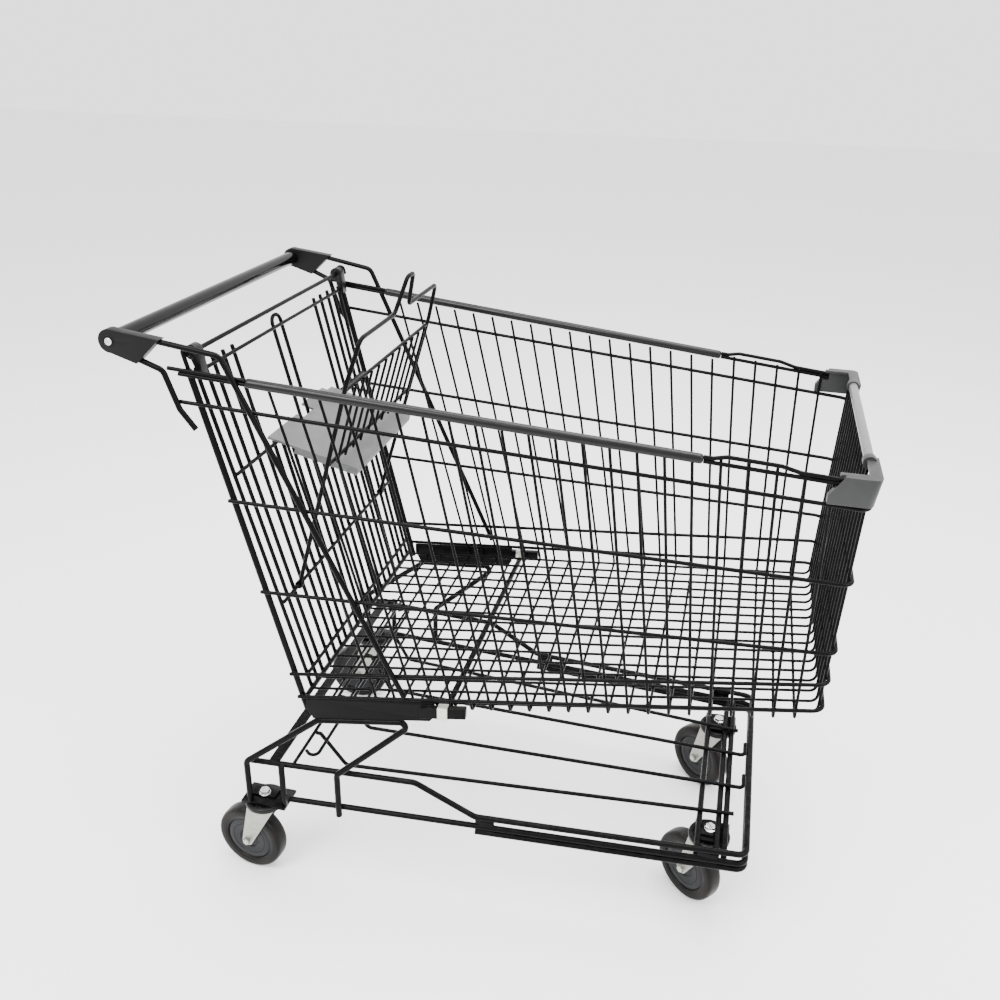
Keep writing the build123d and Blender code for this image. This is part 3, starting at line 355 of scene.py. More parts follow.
class Paint:
    """Builds and keeps the material of each finish."""

    def __init__(self) -> None:
        """Build the shared effects."""
        self.effects = Effects()
        self.made: dict[str, bpy.types.Material] = {}

    def material(self, finish: Finish) -> bpy.types.Material:
        """Give the material of a finish, built the first time it is asked for.

        Args:
            finish: finish to look up.

        Returns:
            The material.
        """
        if finish.name not in self.made:
            self.made[finish.name] = self._build(finish)
        return self.made[finish.name]

    def _build(self, finish: Finish) -> bpy.types.Material:
        """Build one material."""
        material = bpy.data.materials.new(finish.name)
        material.use_nodes = True
        sheet = NodeSheet(material.node_tree)
        shader = material.node_tree.nodes["Principled BSDF"]
        shader.inputs["Metallic"].default_value = finish.metallic
        shader.inputs["Specular IOR Level"].default_value = finish.specular
        shader.inputs["Coat Weight"].default_value = finish.coat
        shader.inputs["Coat Roughness"].default_value = 0.08
        place = sheet.add("ShaderNodeTexCoord").outputs["Object"]

        def effect(tree: bpy.types.NodeTree, **inputs: object) -> bpy.types.Node:
            """Place a shared effect in this material."""
            named = {name.replace("_", " "): value for name, value in inputs.items()}
            return sheet.add("ShaderNodeGroup", {"Position": place, **named}, node_tree=tree)

        def blend(mask: bpy.types.NodeSocket, first: object,
                  second: tuple[float, ...]) -> bpy.types.NodeSocket:
            """Mix a colour over another by a mask."""
            mix = sheet.add("ShaderNodeMix", {"Factor": mask}, data_type="RGBA")
            slots = [socket for socket in mix.inputs if socket.type == "RGBA"]
            for socket, value in zip(slots, (first, second)):
                if isinstance(value, bpy.types.NodeSocket):
                    sheet.tree.links.new(value, socket)
                else:
                    socket.default_value = (*value, 1.0)
            return next(socket for socket in mix.outputs if socket.type == "RGBA")

        grain = effect(self.effects.grain)
        grain.inputs["Spacing"].default_value = finish.grain
        blotch = grain.outputs["Blotch"]
        darker = tuple(0.8 * part for part in finish.colour)
        colour = blend(blotch, darker, finish.colour)
        rough = sheet.math("MULTIPLY_ADD", blotch, finish.spread)
        rough.node.inputs[2].default_value = finish.roughness - finish.spread / 2
        if finish.surface is Surface.PLATED:
            cells = effect(self.effects.spangle).outputs["Cells"]
            darker = tuple(0.6 * part for part in finish.colour)
            colour = blend(sheet.math("MULTIPLY", cells, 0.3), colour, darker)
            rough = sheet.math("ADD", rough, sheet.math("MULTIPLY", cells, 0.08))
        scuffs = effect(self.effects.scuffs)
        scuffs.inputs["Amount"].default_value = finish.scuffs
        colour = blend(scuffs.outputs["Mask"], colour, finish.worn)
        rough = sheet.math("ADD", rough, sheet.math("MULTIPLY", scuffs.outputs["Mask"], 0.25))
        if finish.surface is Surface.RUBBER:
            tread = sheet.add("ShaderNodeTexNoise", {"Vector": place, "Scale": 26.0, "Detail": 5.0})
            colour = blend(sheet.math("MULTIPLY", sheet.ramp(tread.outputs["Fac"], 0.4, 0.75), 0.45), colour,
                           finish.worn)
        if finish.edge_wear:
            wear = effect(self.effects.edge_wear)
            wear.inputs["Amount"].default_value = finish.edge_wear
            colour = blend(wear.outputs["Mask"], colour, finish.worn)
        dust = effect(self.effects.dust)
        dust.inputs["Amount"].default_value = finish.dust
        colour = blend(dust.outputs["Mask"], colour, (0.22, 0.21, 0.19))
        rough = sheet.math("ADD", rough, sheet.math("MULTIPLY", dust.outputs["Mask"], 0.4), clamp=True)
        bump = sheet.add("ShaderNodeBump", {"Height": grain.outputs["Grain"], "Strength": 0.35,
                                            "Distance": finish.grain_depth})
        sheet.tree.links.new(colour, shader.inputs["Base Color"])
        sheet.tree.links.new(rough, shader.inputs["Roughness"])
        sheet.tree.links.new(bump.outputs["Normal"], shader.inputs["Normal"])
        return material


# ---------------------------------------------------------------- bars read from the frame
@dataclass
class Bar:
    """Round bar along straight runs with bent corners.

    Args:
        points: ends and corners, in order.
        radius: radius of the bar.
        bend: radius of each corner's arc, along the middle of the bar.
    """

    points: list[Vector]
    radius: float
    bend: float = 0.0

    @property
    def start(self) -> Vector:
        """First end."""
        return self.points[0]

    @property
    def end(self) -> Vector:
        """Last end."""
        return self.points[-1]

    @property
    def way(self) -> Vector:
        """Unit direction from the first end to the last."""
        return (self.end - self.start).normalized()

    def runs(self) -> list[tuple[Vector, Vector]]:
        """Straight runs, as pairs of points."""
        return list(zip(self.points[:-1], self.points[1:]))


def merged(node: str) -> bmesh.types.BMesh:
    """Copy a CAD node's mesh with its doubled vertices merged.

    Args:
        node: name of the CAD node.

    Returns:
        The copy, which the caller frees.
    """
    copy = bmesh.new()
    copy.from_mesh(frame["nodes"][node].data)
    bmesh.ops.remove_doubles(copy, verts=copy.verts, dist=2e-6)
    return copy


def shells(node: str) -> list[np.ndarray]:
    """Vertices of each separate solid of a CAD node.

    Args:
        node: name of the CAD node.

    Returns:
        One array of points for each solid.
    """
    copy = merged(node)
    seen: set[int] = set()
    found = []
    for first in copy.verts:
        if first.index in seen:
            continue
        seen.add(first.index)
        stack, members = [first], []
        while stack:
            vert = stack.pop()
            members.append(tuple(vert.co))
            for edge in vert.link_edges:
                other = edge.other_vert(vert)
                if other.index not in seen:
                    seen.add(other.index)
                    stack.append(other)
        found.append(np.array(members))
    copy.free()
    return found


def straight_bar(points: np.ndarray) -> Bar | None:
    """Axis and radius of a solid, if it is a straight round bar.

    Args:
        points: vertices of the solid.

    Returns:
        The bar from its lower X, Y or Z end to the other, or None for any other shape.
    """
    middle = points.mean(0)
    axis = np.linalg.svd(points - middle, full_matrices=False)[2][0]
    along = (points - middle) @ axis
    low, high = points[along < along.min() + 1e-4], points[along > along.max() - 1e-4]
    if len(low) + len(high) < len(points) or len(points) < ROUND_ENOUGH:
        return None
    ends = sorted((low.mean(0), high.mean(0)), key=lambda end: tuple(end.round(4)))
    radius = float(np.linalg.norm(low - low.mean(0), axis=1).max())
    return Bar([Vector(ends[0]), Vector(ends[1])], radius)


def stepped_bar(node: str) -> tuple[Bar, Bar]:
    """Thick lower part and thin upper part of a node that is one stepped bar.

    Args:
        node: name of the CAD node.

    Returns:
        The two bars, each from its lower end up.
    """
    points = shells(node)[0]
    heights = points[:, 2]
    foot = points[heights < heights.min() + 4 * MM].mean(0)
    top = points[heights > heights.max() - 3 * MM].mean(0)
    axis = (top - foot) / np.linalg.norm(top - foot)
    along = (points - foot) @ axis
    away = np.linalg.norm(points - foot - np.outer(along, axis), axis=1)
    shoulder = foot + axis * along[away > 0.95 * away.max()].max()
    thin = float(away[along > along.max() - 1 * MM].max())
    corner = shoulder - axis * thin
    thick = float(away.max())
    return Bar([Vector(foot), Vector(shoulder)], thick), Bar([Vector(corner), Vector(top)], thin)


def straight_bars(node: str) -> list[Bar]:
    """Straight round bars of a CAD node."""
    return [bar for bar in map(straight_bar, shells(node)) if bar]


def other_shells(node: str) -> list[np.ndarray]:
    """Solids of a CAD node that aren't straight round bars."""
    return [points for points in shells(node) if straight_bar(points) is None]


# ---------------------------------------------------------------- making pieces
def set_inputs(modifier: bpy.types.NodesModifier, values: dict[str, object]) -> None:
    """Set a modifier's inputs by the names of its tree's sockets.

    Args:
        modifier: Geometry Nodes modifier.
        values: socket name and value.
    """
    for item in modifier.node_group.interface.items_tree:
        if item.item_type == "SOCKET" and item.in_out == "INPUT" and item.name in values:
            modifier[item.identifier] = values[item.name]


def new_piece(name: str, mesh: bpy.types.Mesh) -> bpy.types.Object:
    """Put a mesh in the scene as an object at the origin."""
    piece = bpy.data.objects.new(name, mesh)
    bpy.context.scene.collection.objects.link(piece)
    return piece


def bake(piece: bpy.types.Object) -> None:
    """Turn a piece's modifiers into plain mesh.

    Args:
        piece: object whose modifiers are applied and removed.
    """
    bpy.context.view_layer.update()
    graph = bpy.context.evaluated_depsgraph_get()
    mesh = bpy.data.meshes.new_from_object(piece.evaluated_get(graph), depsgraph=graph)
    old = piece.data
    piece.modifiers.clear()
    piece.data = mesh
    mesh.name = piece.name
    bpy.data.meshes.remove(old)


@dataclass
class Workshop:
    """Tools that every sub-assembly uses: finishes, bar bending, welding, turning and softening.

    Args:
        paint: finishes.
        bar_sides: faces round a thick bar.
        bend_steps: faces along a bent corner.
        tip_length: length of a rounded tip, in bar radii.
    """

    paint: Paint
    bar_sides: int = 16
    bend_steps: int = 7
    tip_length: float = 0.9
    made: list[str] = field(default_factory=list)

    def __post_init__(self) -> None:
        """Build the Geometry Nodes trees."""
        self.bar_tree = self._bar_tree()
        self.weld_tree = self._weld_tree()
        self.ring_tree = self._ring_tree()

    def _bar_tree(self) -> bpy.types.NodeTree:
        """Tree that bends polylines and gives them a round section."""
        tree = new_group("bent_bars", "GeometryNodeTree", [
            ("INPUT", "Geometry", "NodeSocketGeometry", None), ("INPUT", "Sides", "NodeSocketInt", 12),
            ("INPUT", "Bend Steps", "NodeSocketInt", 6), ("INPUT", "Thickness", "NodeSocketFloat", 1.0),
            ("INPUT", "Material", "NodeSocketMaterial", None),
            ("OUTPUT", "Geometry", "NodeSocketGeometry", None)])
        sheet = NodeSheet(tree)
        inside = sheet.add("NodeGroupInput")
        line = sheet.add("GeometryNodeMeshToCurve", {"Mesh": inside.outputs["Geometry"]})
        bend = sheet.add("GeometryNodeInputNamedAttribute", {"Name": "bend_radius"}, data_type="FLOAT")
        bent = sheet.add("GeometryNodeFilletCurve", {
            "Curve": line.outputs[0], "Count": inside.outputs["Bend Steps"], "Radius": bend.outputs[0],
            "Limit Radius": True}, mode="POLY")
        size = sheet.add("GeometryNodeInputNamedAttribute", {"Name": "bar_radius"}, data_type="FLOAT")
        scale = sheet.math("MULTIPLY", size.outputs[0], inside.outputs["Thickness"])
        section = sheet.add("GeometryNodeCurvePrimitiveCircle", {"Resolution": inside.outputs["Sides"],
                                                                 "Radius": 1.0})
        solid = sheet.add("GeometryNodeCurveToMesh", {"Curve": bent.outputs[0], "Profile Curve": section.outputs[0],
                                                      "Scale": scale, "Fill Caps": True})
        self._close_tree(sheet, solid.outputs[0], inside)
        return tree

    def _weld_tree(self) -> bpy.types.NodeTree:
        """Tree that puts a flattened bead of weld at each point, under the coating."""
        tree = new_group("weld_beads", "GeometryNodeTree", [
            ("INPUT", "Geometry", "NodeSocketGeometry", None), ("INPUT", "Flatness", "NodeSocketFloat", 0.6),
            ("INPUT", "Swell", "NodeSocketFloat", 1.0), ("INPUT", "Unevenness", "NodeSocketFloat", 0.15),
            ("INPUT", "Seed", "NodeSocketInt", 4), ("INPUT", "Material", "NodeSocketMaterial", None),
            ("OUTPUT", "Geometry", "NodeSocketGeometry", None)])
        sheet = NodeSheet(tree)
        inside = sheet.add("NodeGroupInput")
        points = sheet.add("GeometryNodeMeshToPoints", {"Mesh": inside.outputs["Geometry"]})
        across = sheet.add("GeometryNodeInputNamedAttribute", {"Name": "across"}, data_type="FLOAT_VECTOR")
        turn = sheet.add("FunctionNodeAlignRotationToVector", {"Vector": across.outputs[0]}, axis="Z")
        size = sheet.add("GeometryNodeInputNamedAttribute", {"Name": "bead_radius"}, data_type="FLOAT")
        low = sheet.math("SUBTRACT", 1.0, inside.outputs["Unevenness"])
        high = sheet.math("ADD", 1.0, inside.outputs["Unevenness"])
        uneven = sheet.add("FunctionNodeRandomValue", data_type="FLOAT")
        for socket, value in zip((s for s in uneven.inputs if s.type == "VALUE" and s.name in ("Min", "Max")),
                                 (low, high)):
            tree.links.new(value, socket)
        tree.links.new(inside.outputs["Seed"], uneven.inputs["Seed"])
        chance = next(s for s in uneven.outputs if s.type == "VALUE")
        varied = sheet.math("MULTIPLY", size.outputs[0], chance)
        swollen = sheet.math("MULTIPLY", varied, inside.outputs["Swell"])
        flat = sheet.math("MULTIPLY", swollen, inside.outputs["Flatness"])
        scale = sheet.add("ShaderNodeCombineXYZ", {"X": swollen, "Y": swollen, "Z": flat})
        bead = sheet.add("GeometryNodeMeshUVSphere", {"Segments": 8, "Rings": 5, "Radius": 1.0})
        beads = sheet.add("GeometryNodeInstanceOnPoints", {
            "Points": points.outputs[0], "Instance": bead.outputs[0], "Rotation": turn.outputs[0],
            "Scale": scale.outputs[0]})
        self._close_tree(sheet, beads.outputs[0], inside)
        return tree

    def _ring_tree(self) -> bpy.types.NodeTree:
        """Tree that repeats a rounded rib round a ring at each point."""
        tree = new_group("ring_of_ribs", "GeometryNodeTree", [
            ("INPUT", "Geometry", "NodeSocketGeometry", None), ("INPUT", "Count", "NodeSocketInt", 6),
            ("INPUT", "Ring Radius", "NodeSocketFloat", 0.004),
            ("INPUT", "Rib Length", "NodeSocketFloat", 0.003),
            ("INPUT", "Rib Width", "NodeSocketFloat", 0.001),
            ("INPUT", "Rib Height", "NodeSocketFloat", 0.0005),
            ("INPUT", "Material", "NodeSocketMaterial", None),
            ("OUTPUT", "Geometry", "NodeSocketGeometry", None)])
        sheet = NodeSheet(tree)
        inside = sheet.add("NodeGroupInput")
        points = sheet.add("GeometryNodeMeshToPoints", {"Mesh": inside.outputs["Geometry"]})
        circle = sheet.add("GeometryNodeMeshCircle", {"Vertices": inside.outputs["Count"],
                                                      "Radius": inside.outputs["Ring Radius"]}, fill_type="NONE")
        place = sheet.add("GeometryNodeInputPosition")
        outwards = sheet.add("FunctionNodeAlignRotationToVector", {"Vector": place.outputs[0]}, axis="X")
        rib = sheet.add("GeometryNodeMeshUVSphere", {"Segments": 8, "Rings": 5, "Radius": 0.5})
        scale = sheet.add("ShaderNodeCombineXYZ", {"X": inside.outputs["Rib Length"],
                                                   "Y": inside.outputs["Rib Width"],
                                                   "Z": inside.outputs["Rib Height"]})
        ring = sheet.add("GeometryNodeInstanceOnPoints", {
            "Points": circle.outputs[0], "Instance": rib.outputs[0], "Rotation": outwards.outputs[0],
            "Scale": scale.outputs[0]})
        whole = sheet.add("GeometryNodeRealizeInstances", {0: ring.outputs[0]})
        across = sheet.add("GeometryNodeInputNamedAttribute", {"Name": "across"}, data_type="FLOAT_VECTOR")
        turn = sheet.add("FunctionNodeAlignRotationToVector", {"Vector": across.outputs[0]}, axis="Z")
        rings = sheet.add("GeometryNodeInstanceOnPoints", {
            "Points": points.outputs[0], "Instance": whole.outputs[0], "Rotation": turn.outputs[0]})
        self._close_tree(sheet, rings.outputs[0], inside)
        return tree

    @staticmethod
    def _close_tree(sheet: NodeSheet, geometry: bpy.types.NodeSocket, inside: bpy.types.Node) -> None:
        """End a tree: shade it smooth, make instances real and set the material."""
        smooth = sheet.add("GeometryNodeSetShadeSmooth", {"Geometry": geometry})
        real = sheet.add("GeometryNodeRealizeInstances", {0: smooth.outputs[0]})
        dressed = sheet.add("GeometryNodeSetMaterial", {"Geometry": real.outputs[0],
                                                        "Material": inside.outputs["Material"]})
        out = sheet.add("NodeGroupOutput")
        sheet.tree.links.new(dressed.outputs[0], out.inputs[0])

    def _grow(self, name: str, mesh: bpy.types.Mesh, tree: bpy.types.NodeTree,
              values: dict[str, object], finish: Finish) -> bpy.types.Object:
        """Run a tree on a mesh and keep the result as a plain mesh."""
        piece = new_piece(name, mesh)
        modifier = piece.modifiers.new("shape", "NODES")
        modifier.node_group = tree
        set_inputs(modifier, {**values, "Material": self.paint.material(finish)})
        bake(piece)
        return piece

    def _settle(self, piece: bpy.types.Object, body: str,
                stands_for: tuple[str, ...]) -> None:
        """Ride a finished piece on its body and report it."""
        if stands_for:
            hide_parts(*stands_for)
        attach(piece, body)
        self.made.append(piece.name)
        log.info("%s: %d faces on %s, for %s", piece.name, len(piece.data.polygons), body,
                 ", ".join(stands_for) or "no node")

    def bars(self, name: str, bars: list[Bar], body: str, finish: Finish, stands_for: tuple[str, ...] = (),
             sides: int | None = None) -> bpy.types.Object:
        """Draw bars with rounded tips and bent corners.

        Args:
            name: name of the piece.
            bars: bars to draw.
            body: body that the piece rides on.
            finish: finish of the bars.
            stands_for: CAD nodes that the piece replaces.
            sides: faces round each bar.

        Returns:
            The piece.
        """
        places, edges, radii, bends = [], [], [], []
        tips = ((0.0, 0.55), (0.16, 0.84), (0.5, 0.97))
        for bar in bars:
            first = len(places)
            tip = bar.radius * self.tip_length
            ways = [(bar.points[1] - bar.points[0]).normalized(),
                    (bar.points[-2] - bar.points[-1]).normalized()]
            nose = [(bar.start + ways[0] * tip * share, bar.radius * width, 0.0) for share, width in tips]
            tail = [(bar.end + ways[1] * tip * share, bar.radius * width, 0.0) for share, width in tips]
            shoulders = [(bar.start + ways[0] * tip, bar.radius, 0.0),
                         (bar.end + ways[1] * tip, bar.radius, 0.0)]
            corners = [(point, bar.radius, bar.bend) for point in bar.points[1:-1]]
            for place, radius, bend in (*nose, shoulders[0], *corners, shoulders[1], *reversed(tail)):
                places.append(place)
                radii.append(radius)
                bends.append(bend)
            edges += [(index, index + 1) for index in range(first, len(places) - 1)]
        mesh = bpy.data.meshes.new(name)
        mesh.from_pydata(places, edges, [])
        for label, values in (("bar_radius", radii), ("bend_radius", bends)):
            mesh.attributes.new(label, "FLOAT", "POINT").data.foreach_set("value", values)
        piece = self._grow(name, mesh, self.bar_tree, {"Sides": sides or self.bar_sides,
                                                       "Bend Steps": self.bend_steps}, finish)
        self._settle(piece, body, stands_for)
        return piece

    def _pointed(self, name: str, places: list[Vector], across: list[Vector]) -> bpy.types.Mesh:
        """Mesh of loose points, each with a direction."""
        mesh = bpy.data.meshes.new(name)
        mesh.from_pydata(places, [], [])
        flat = [part for way in across for part in way]
        mesh.attributes.new("across", "FLOAT_VECTOR", "POINT").data.foreach_set("vector", flat)
        return mesh

    def welds(self, name: str, first: list[Bar], second: list[Bar], body: str, finish: Finish,
              swell: float = 1.0) -> bpy.types.Object | None:
        """Put a bead of weld wherever two sets of bars touch.

        Args:
            name: name of the piece.
            first: one set of bars.
            second: the other set.
            body: body that the piece rides on.
            finish: finish of the beads.
            swell: size of the beads.

        Returns:
            The piece, or None where nothing touches.
        """
        places, across, sizes = [], [], []
        for one in first:
            for two in second:
                for run_a in one.runs():
                    for run_b in two.runs():
                        touch = contact(run_a, run_b, one.radius, two.radius)
                        if touch:
                            places.append(touch[0])
                            across.append(touch[1])
                            sizes.append(0.62 * (one.radius + two.radius))
        if not places:
            return None
        mesh = self._pointed(name, places, across)
        mesh.attributes.new("bead_radius", "FLOAT", "POINT").data.foreach_set("value", sizes)
        piece = self._grow(name, mesh, self.weld_tree, {"Swell": swell}, finish)
        self._settle(piece, body, ())
        return piece

    def ribs(self, name: str, places: list[Vector], across: list[Vector], body: str, finish: Finish,
             **sizes: float) -> bpy.types.Object:
        """Draw a ring of small ribs at each place.

        Args:
            name: name of the piece.
            places: middles of the rings.
            across: direction that each ring faces.
            body: body that the piece rides on.
            finish: finish of the ribs.
            **sizes: inputs of the tree, with underscores for spaces.

        Returns:
            The piece.
        """
        values = {label.replace("_", " ").title(): value for label, value in sizes.items()}
        piece = self._grow(name, self._pointed(name, places, across), self.ring_tree, values, finish)
        self._settle(piece, body, ())
        return piece

    def turned(self, name: str, profile: list[tuple[float, float]], place: Matrix, body: str, finish: Finish,
               stands_for: tuple[str, ...] = (), steps: int = 72, bevel: float = 0.0) -> bpy.types.Object:
        """Turn a closed profile round the local Z axis.

        Args:
            name: name of the piece.
            profile: (radius, height) points, in order round the section.
            place: where the piece goes.
            body: body that the piece rides on.
            finish: finish of the piece.
            stands_for: CAD nodes that the piece replaces.
            steps: faces round the piece.
            bevel: width of the rounding on sharp edges.

        Returns:
            The piece.
        """
        shape = bmesh.new()
        rings = []
        for radius, height in profile:
            turns = range(steps) if radius > 1e-6 else range(1)
            rings.append([shape.verts.new((radius * math.cos(math.tau * k / steps),
                                           radius * math.sin(math.tau * k / steps), height)) for k in turns])
        for one, two in zip(rings, rings[1:] + rings[:1]):
            for k in range(steps):
                loop = [one[k % len(one)], one[(k + 1) % len(one)],
                        two[(k + 1) % len(two)], two[k % len(two)]]
                unique = list(dict.fromkeys(loop))
                if len(unique) > 2:
                    shape.faces.new(unique)
        bmesh.ops.recalc_face_normals(shape, faces=shape.faces)
        mesh = bpy.data.meshes.new(name)
        shape.to_mesh(mesh)
        shape.free()
        mesh.transform(place)
        return self._rounded(name, mesh, bevel, 2, body, finish, stands_for)

    def softened(self, name: str, node: str, body: str, finish: Finish, bevel: float,
                 segments: int = 2) -> bpy.types.Object:
        """Copy a CAD node with rounded edges.

        Args:
            name: name of the piece.
            node: CAD node that it copies and replaces.
            body: body that the piece rides on.
            finish: finish of the piece.
            bevel: width of the rounding.
            segments: faces across the rounding.

        Returns:
            The piece.
        """
        copy = merged(node)
        bmesh.ops.dissolve_limit(copy, angle_limit=math.radians(0.8), verts=copy.verts, edges=copy.edges)
        mesh = bpy.data.meshes.new(name)
        copy.to_mesh(mesh)
        copy.free()
        return self._rounded(name, mesh, bevel, segments, body, finish, (node,))

    def _rounded(self, name: str, mesh: bpy.types.Mesh, bevel: float, segments: int, body: str,
                 finish: Finish,
                 stands_for: tuple[str, ...]) -> bpy.types.Object:
        """Round a mesh's sharp edges, then finish and settle it."""
        mesh.shade_smooth()
        mesh.materials.append(self.paint.material(finish))
        piece = new_piece(name, mesh)
        if bevel:
            rounding = piece.modifiers.new("rounding", "BEVEL")
            rounding.width = bevel
            rounding.segments = segments
            rounding.limit_method = "ANGLE"
            rounding.angle_limit = math.radians(28)
            rounding.harden_normals = True
            rounding.miter_outer = "MITER_ARC"
        bake(piece)
        self._settle(piece, body, stands_for)
        return piece

    def coat(self, body_finish: dict[str, Finish]) -> None:
        """Give CAD nodes that stay as they are their finish.

        Args:
            body_finish: CAD node and its finish.
        """
        for node, finish in body_finish.items():
            mesh = frame["nodes"][node].data
            mesh.materials.clear()
            mesh.materials.append(self.paint.material(finish))
            log.info("%s: CAD shape kept, %s", node, finish.name)


def contact(run_a: tuple[Vector, Vector], run_b: tuple[Vector, Vector], radius_a: float,
            radius_b: float) -> tuple[Vector, Vector] | None:
    """Where two straight bars touch.

    Args:
        run_a: ends of the first bar.
        run_b: ends of the second bar.
        radius_a: radius of the first bar.
        radius_b: radius of the second bar.

    Returns:
        The touching point and the direction across it, or None.
    """
    way_a, way_b, gap = run_a[1] - run_a[0], run_b[1] - run_b[0], run_a[0] - run_b[0]
    aa, bb, ab = way_a.dot(way_a), way_b.dot(way_b), way_a.dot(way_b)
    span = aa * bb - ab * ab
    if span < 1e-12:
        return None
    share_a = min(1.0, max(0.0, (ab * way_b.dot(gap) - bb * way_a.dot(gap)) / span))
    share_b = min(1.0, max(0.0, (aa * way_b.dot(gap) - ab * way_a.dot(gap)) / span))
    on_a, on_b = run_a[0] + way_a * share_a, run_b[0] + way_b * share_b
    between = on_b - on_a
    if not 1e-6 < between.length < radius_a + radius_b + CONTACT:
        return None
    return on_a + between * (radius_a / (radius_a + radius_b)), between.normalized()


# ---------------------------------------------------------------- sub-assemblies
@dataclass
class Basket:
    """Wires of the basket: bent wires across, hoops round it, wires along the floor and up the front.

    Args:
        corner_bend: bend where a side wire turns under the floor.
        hoop_bend: bend of the hoops round the front corners.
        foot_bend: bend where a floor wire turns up into the front wall.
        match: how near two ends have to be to belong together.
    """

    shop: Workshop
    corner_bend: float = 6.0 * MM
    hoop_bend: float = 16.0 * MM
    foot_bend: float = 12.0 * MM
    match: float = 1.5 * MM

    def build(self) -> None:
        """Draw the basket and its welds."""
        floor = straight_bars("basket_floor")
        thin = min(bar.radius for bar in floor)
        cross = [bar for bar in floor if abs(bar.way.y) > ALONG and bar.radius < 1.2 * thin]
        along = [bar for bar in floor if abs(bar.way.x) > ALONG]
        edge = [bar for bar in floor if abs(bar.way.y) > ALONG and bar.radius >= 1.2 * thin]
        bent, plain = self.across_wires(cross)
        front = straight_bars("front_grid")
        uprights = sorted((bar for bar in front if abs(bar.way.z) > ALONG), key=lambda bar: bar.start.y)
        bands = sorted((bar for bar in front if abs(bar.way.y) > ALONG), key=lambda bar: bar.start.z)
        hoops = self.hoops(bands)
        floors = self.floor_wires(sorted(along, key=lambda bar: bar.end.y), uprights)
        self.shop.bars("basket_across_wires", bent + plain, "frame", BLACK_WIRE,
                       ("side_wires_left", "side_wires_right"), sides=12)
        self.shop.bars("basket_floor_wires", floors + edge, "frame", BLACK_WIRE, ("basket_floor",), sides=12)
        self.shop.bars("basket_hoops", hoops, "frame", BLACK_WIRE,
                       ("side_rails_left", "side_rails_right", "front_grid"))
        self.shop.welds("basket_side_welds", bent, hoops, "frame", BLACK_WIRE)
        self.shop.welds("basket_floor_welds", bent + plain, floors, "frame", BLACK_WIRE)
        self.shop.welds("basket_front_welds", floors, hoops, "frame", BLACK_WIRE)

    def across_wires(self, cross: list[Bar]) -> tuple[list[Bar], list[Bar]]:
        """Join each floor wire to the side wires at its ends.

        Args:
            cross: wires from side to side under the floor.

        Returns:
            The bent wires that go up both sides, and the plain ones.
        """
        walls = {side: {round(bar.points[index].x, 4): bar for bar in straight_bars(f"side_wires_{side}")
                        for index in [0 if bar.start.z < bar.end.z else 1]} for side in SIDES}
        bent, plain = [], []
        for bar in cross:
            sides = []
            for side, sign in zip(SIDES, (1, -1)):
                near = [wall for foot, wall in walls[side].items() if abs(foot - bar.start.x) < self.match]
                sides.append((near[0], sign) if near else None)
            if None in sides:
                plain.append(bar)
                continue
            path = []
            for wall, _ in sides:
                foot, top = sorted(wall.points, key=lambda point: point.z)
                corner = Vector((foot.x, foot.y, bar.start.z))
                path.append((top, corner))
            (top_l, foot_l), (top_r, foot_r) = path
            bent.append(Bar([top_r, foot_r, foot_l, top_l], bar.radius, self.corner_bend))
        return bent, plain

    def hoops(self, bands: list[Bar]) -> list[Bar]:
        """Join each band across the front to the side rails at its height.

        Args:
            bands: wires across the front wall.

        Returns:
            The hoops, open at the rear.
        """
        rails = {side: straight_bars(f"side_rails_{side}") for side in SIDES}
        hoops = []
        for band in bands:
            ends = []
            for side in SIDES:
                rail = min(rails[side],
                           key=lambda bar: abs(max(bar.points, key=lambda p: p.x).z - band.start.z))
                rear, front = sorted(rail.points, key=lambda point: point.x)
                share = (band.start.x - rear.x) / (front.x - rear.x)
                ends.append((rear, rear + (front - rear) * share))
            (rear_l, corner_l), (rear_r, corner_r) = ends
            hoops.append(Bar([rear_l, corner_l, corner_r, rear_r], band.radius, self.hoop_bend))
        return hoops

    def floor_wires(self, along: list[Bar], uprights: list[Bar]) -> list[Bar]:
        """Join each wire along the floor to the upright wire at its front end.

        Args:
            along: wires along the floor, from right to left.
            uprights: wires of the front wall, from right to left.

        Returns:
            The bent wires.
        """
        wires = []
        for low, high in zip(along, uprights):
            rear, front = sorted(low.points, key=lambda point: point.x)
            foot, top = sorted(high.points, key=lambda point: point.z)
            share = (foot.x - rear.x) / (front.x - rear.x)
            wires.append(Bar([rear, rear + (front - rear) * share, top], low.radius, self.foot_bend))
        return wires


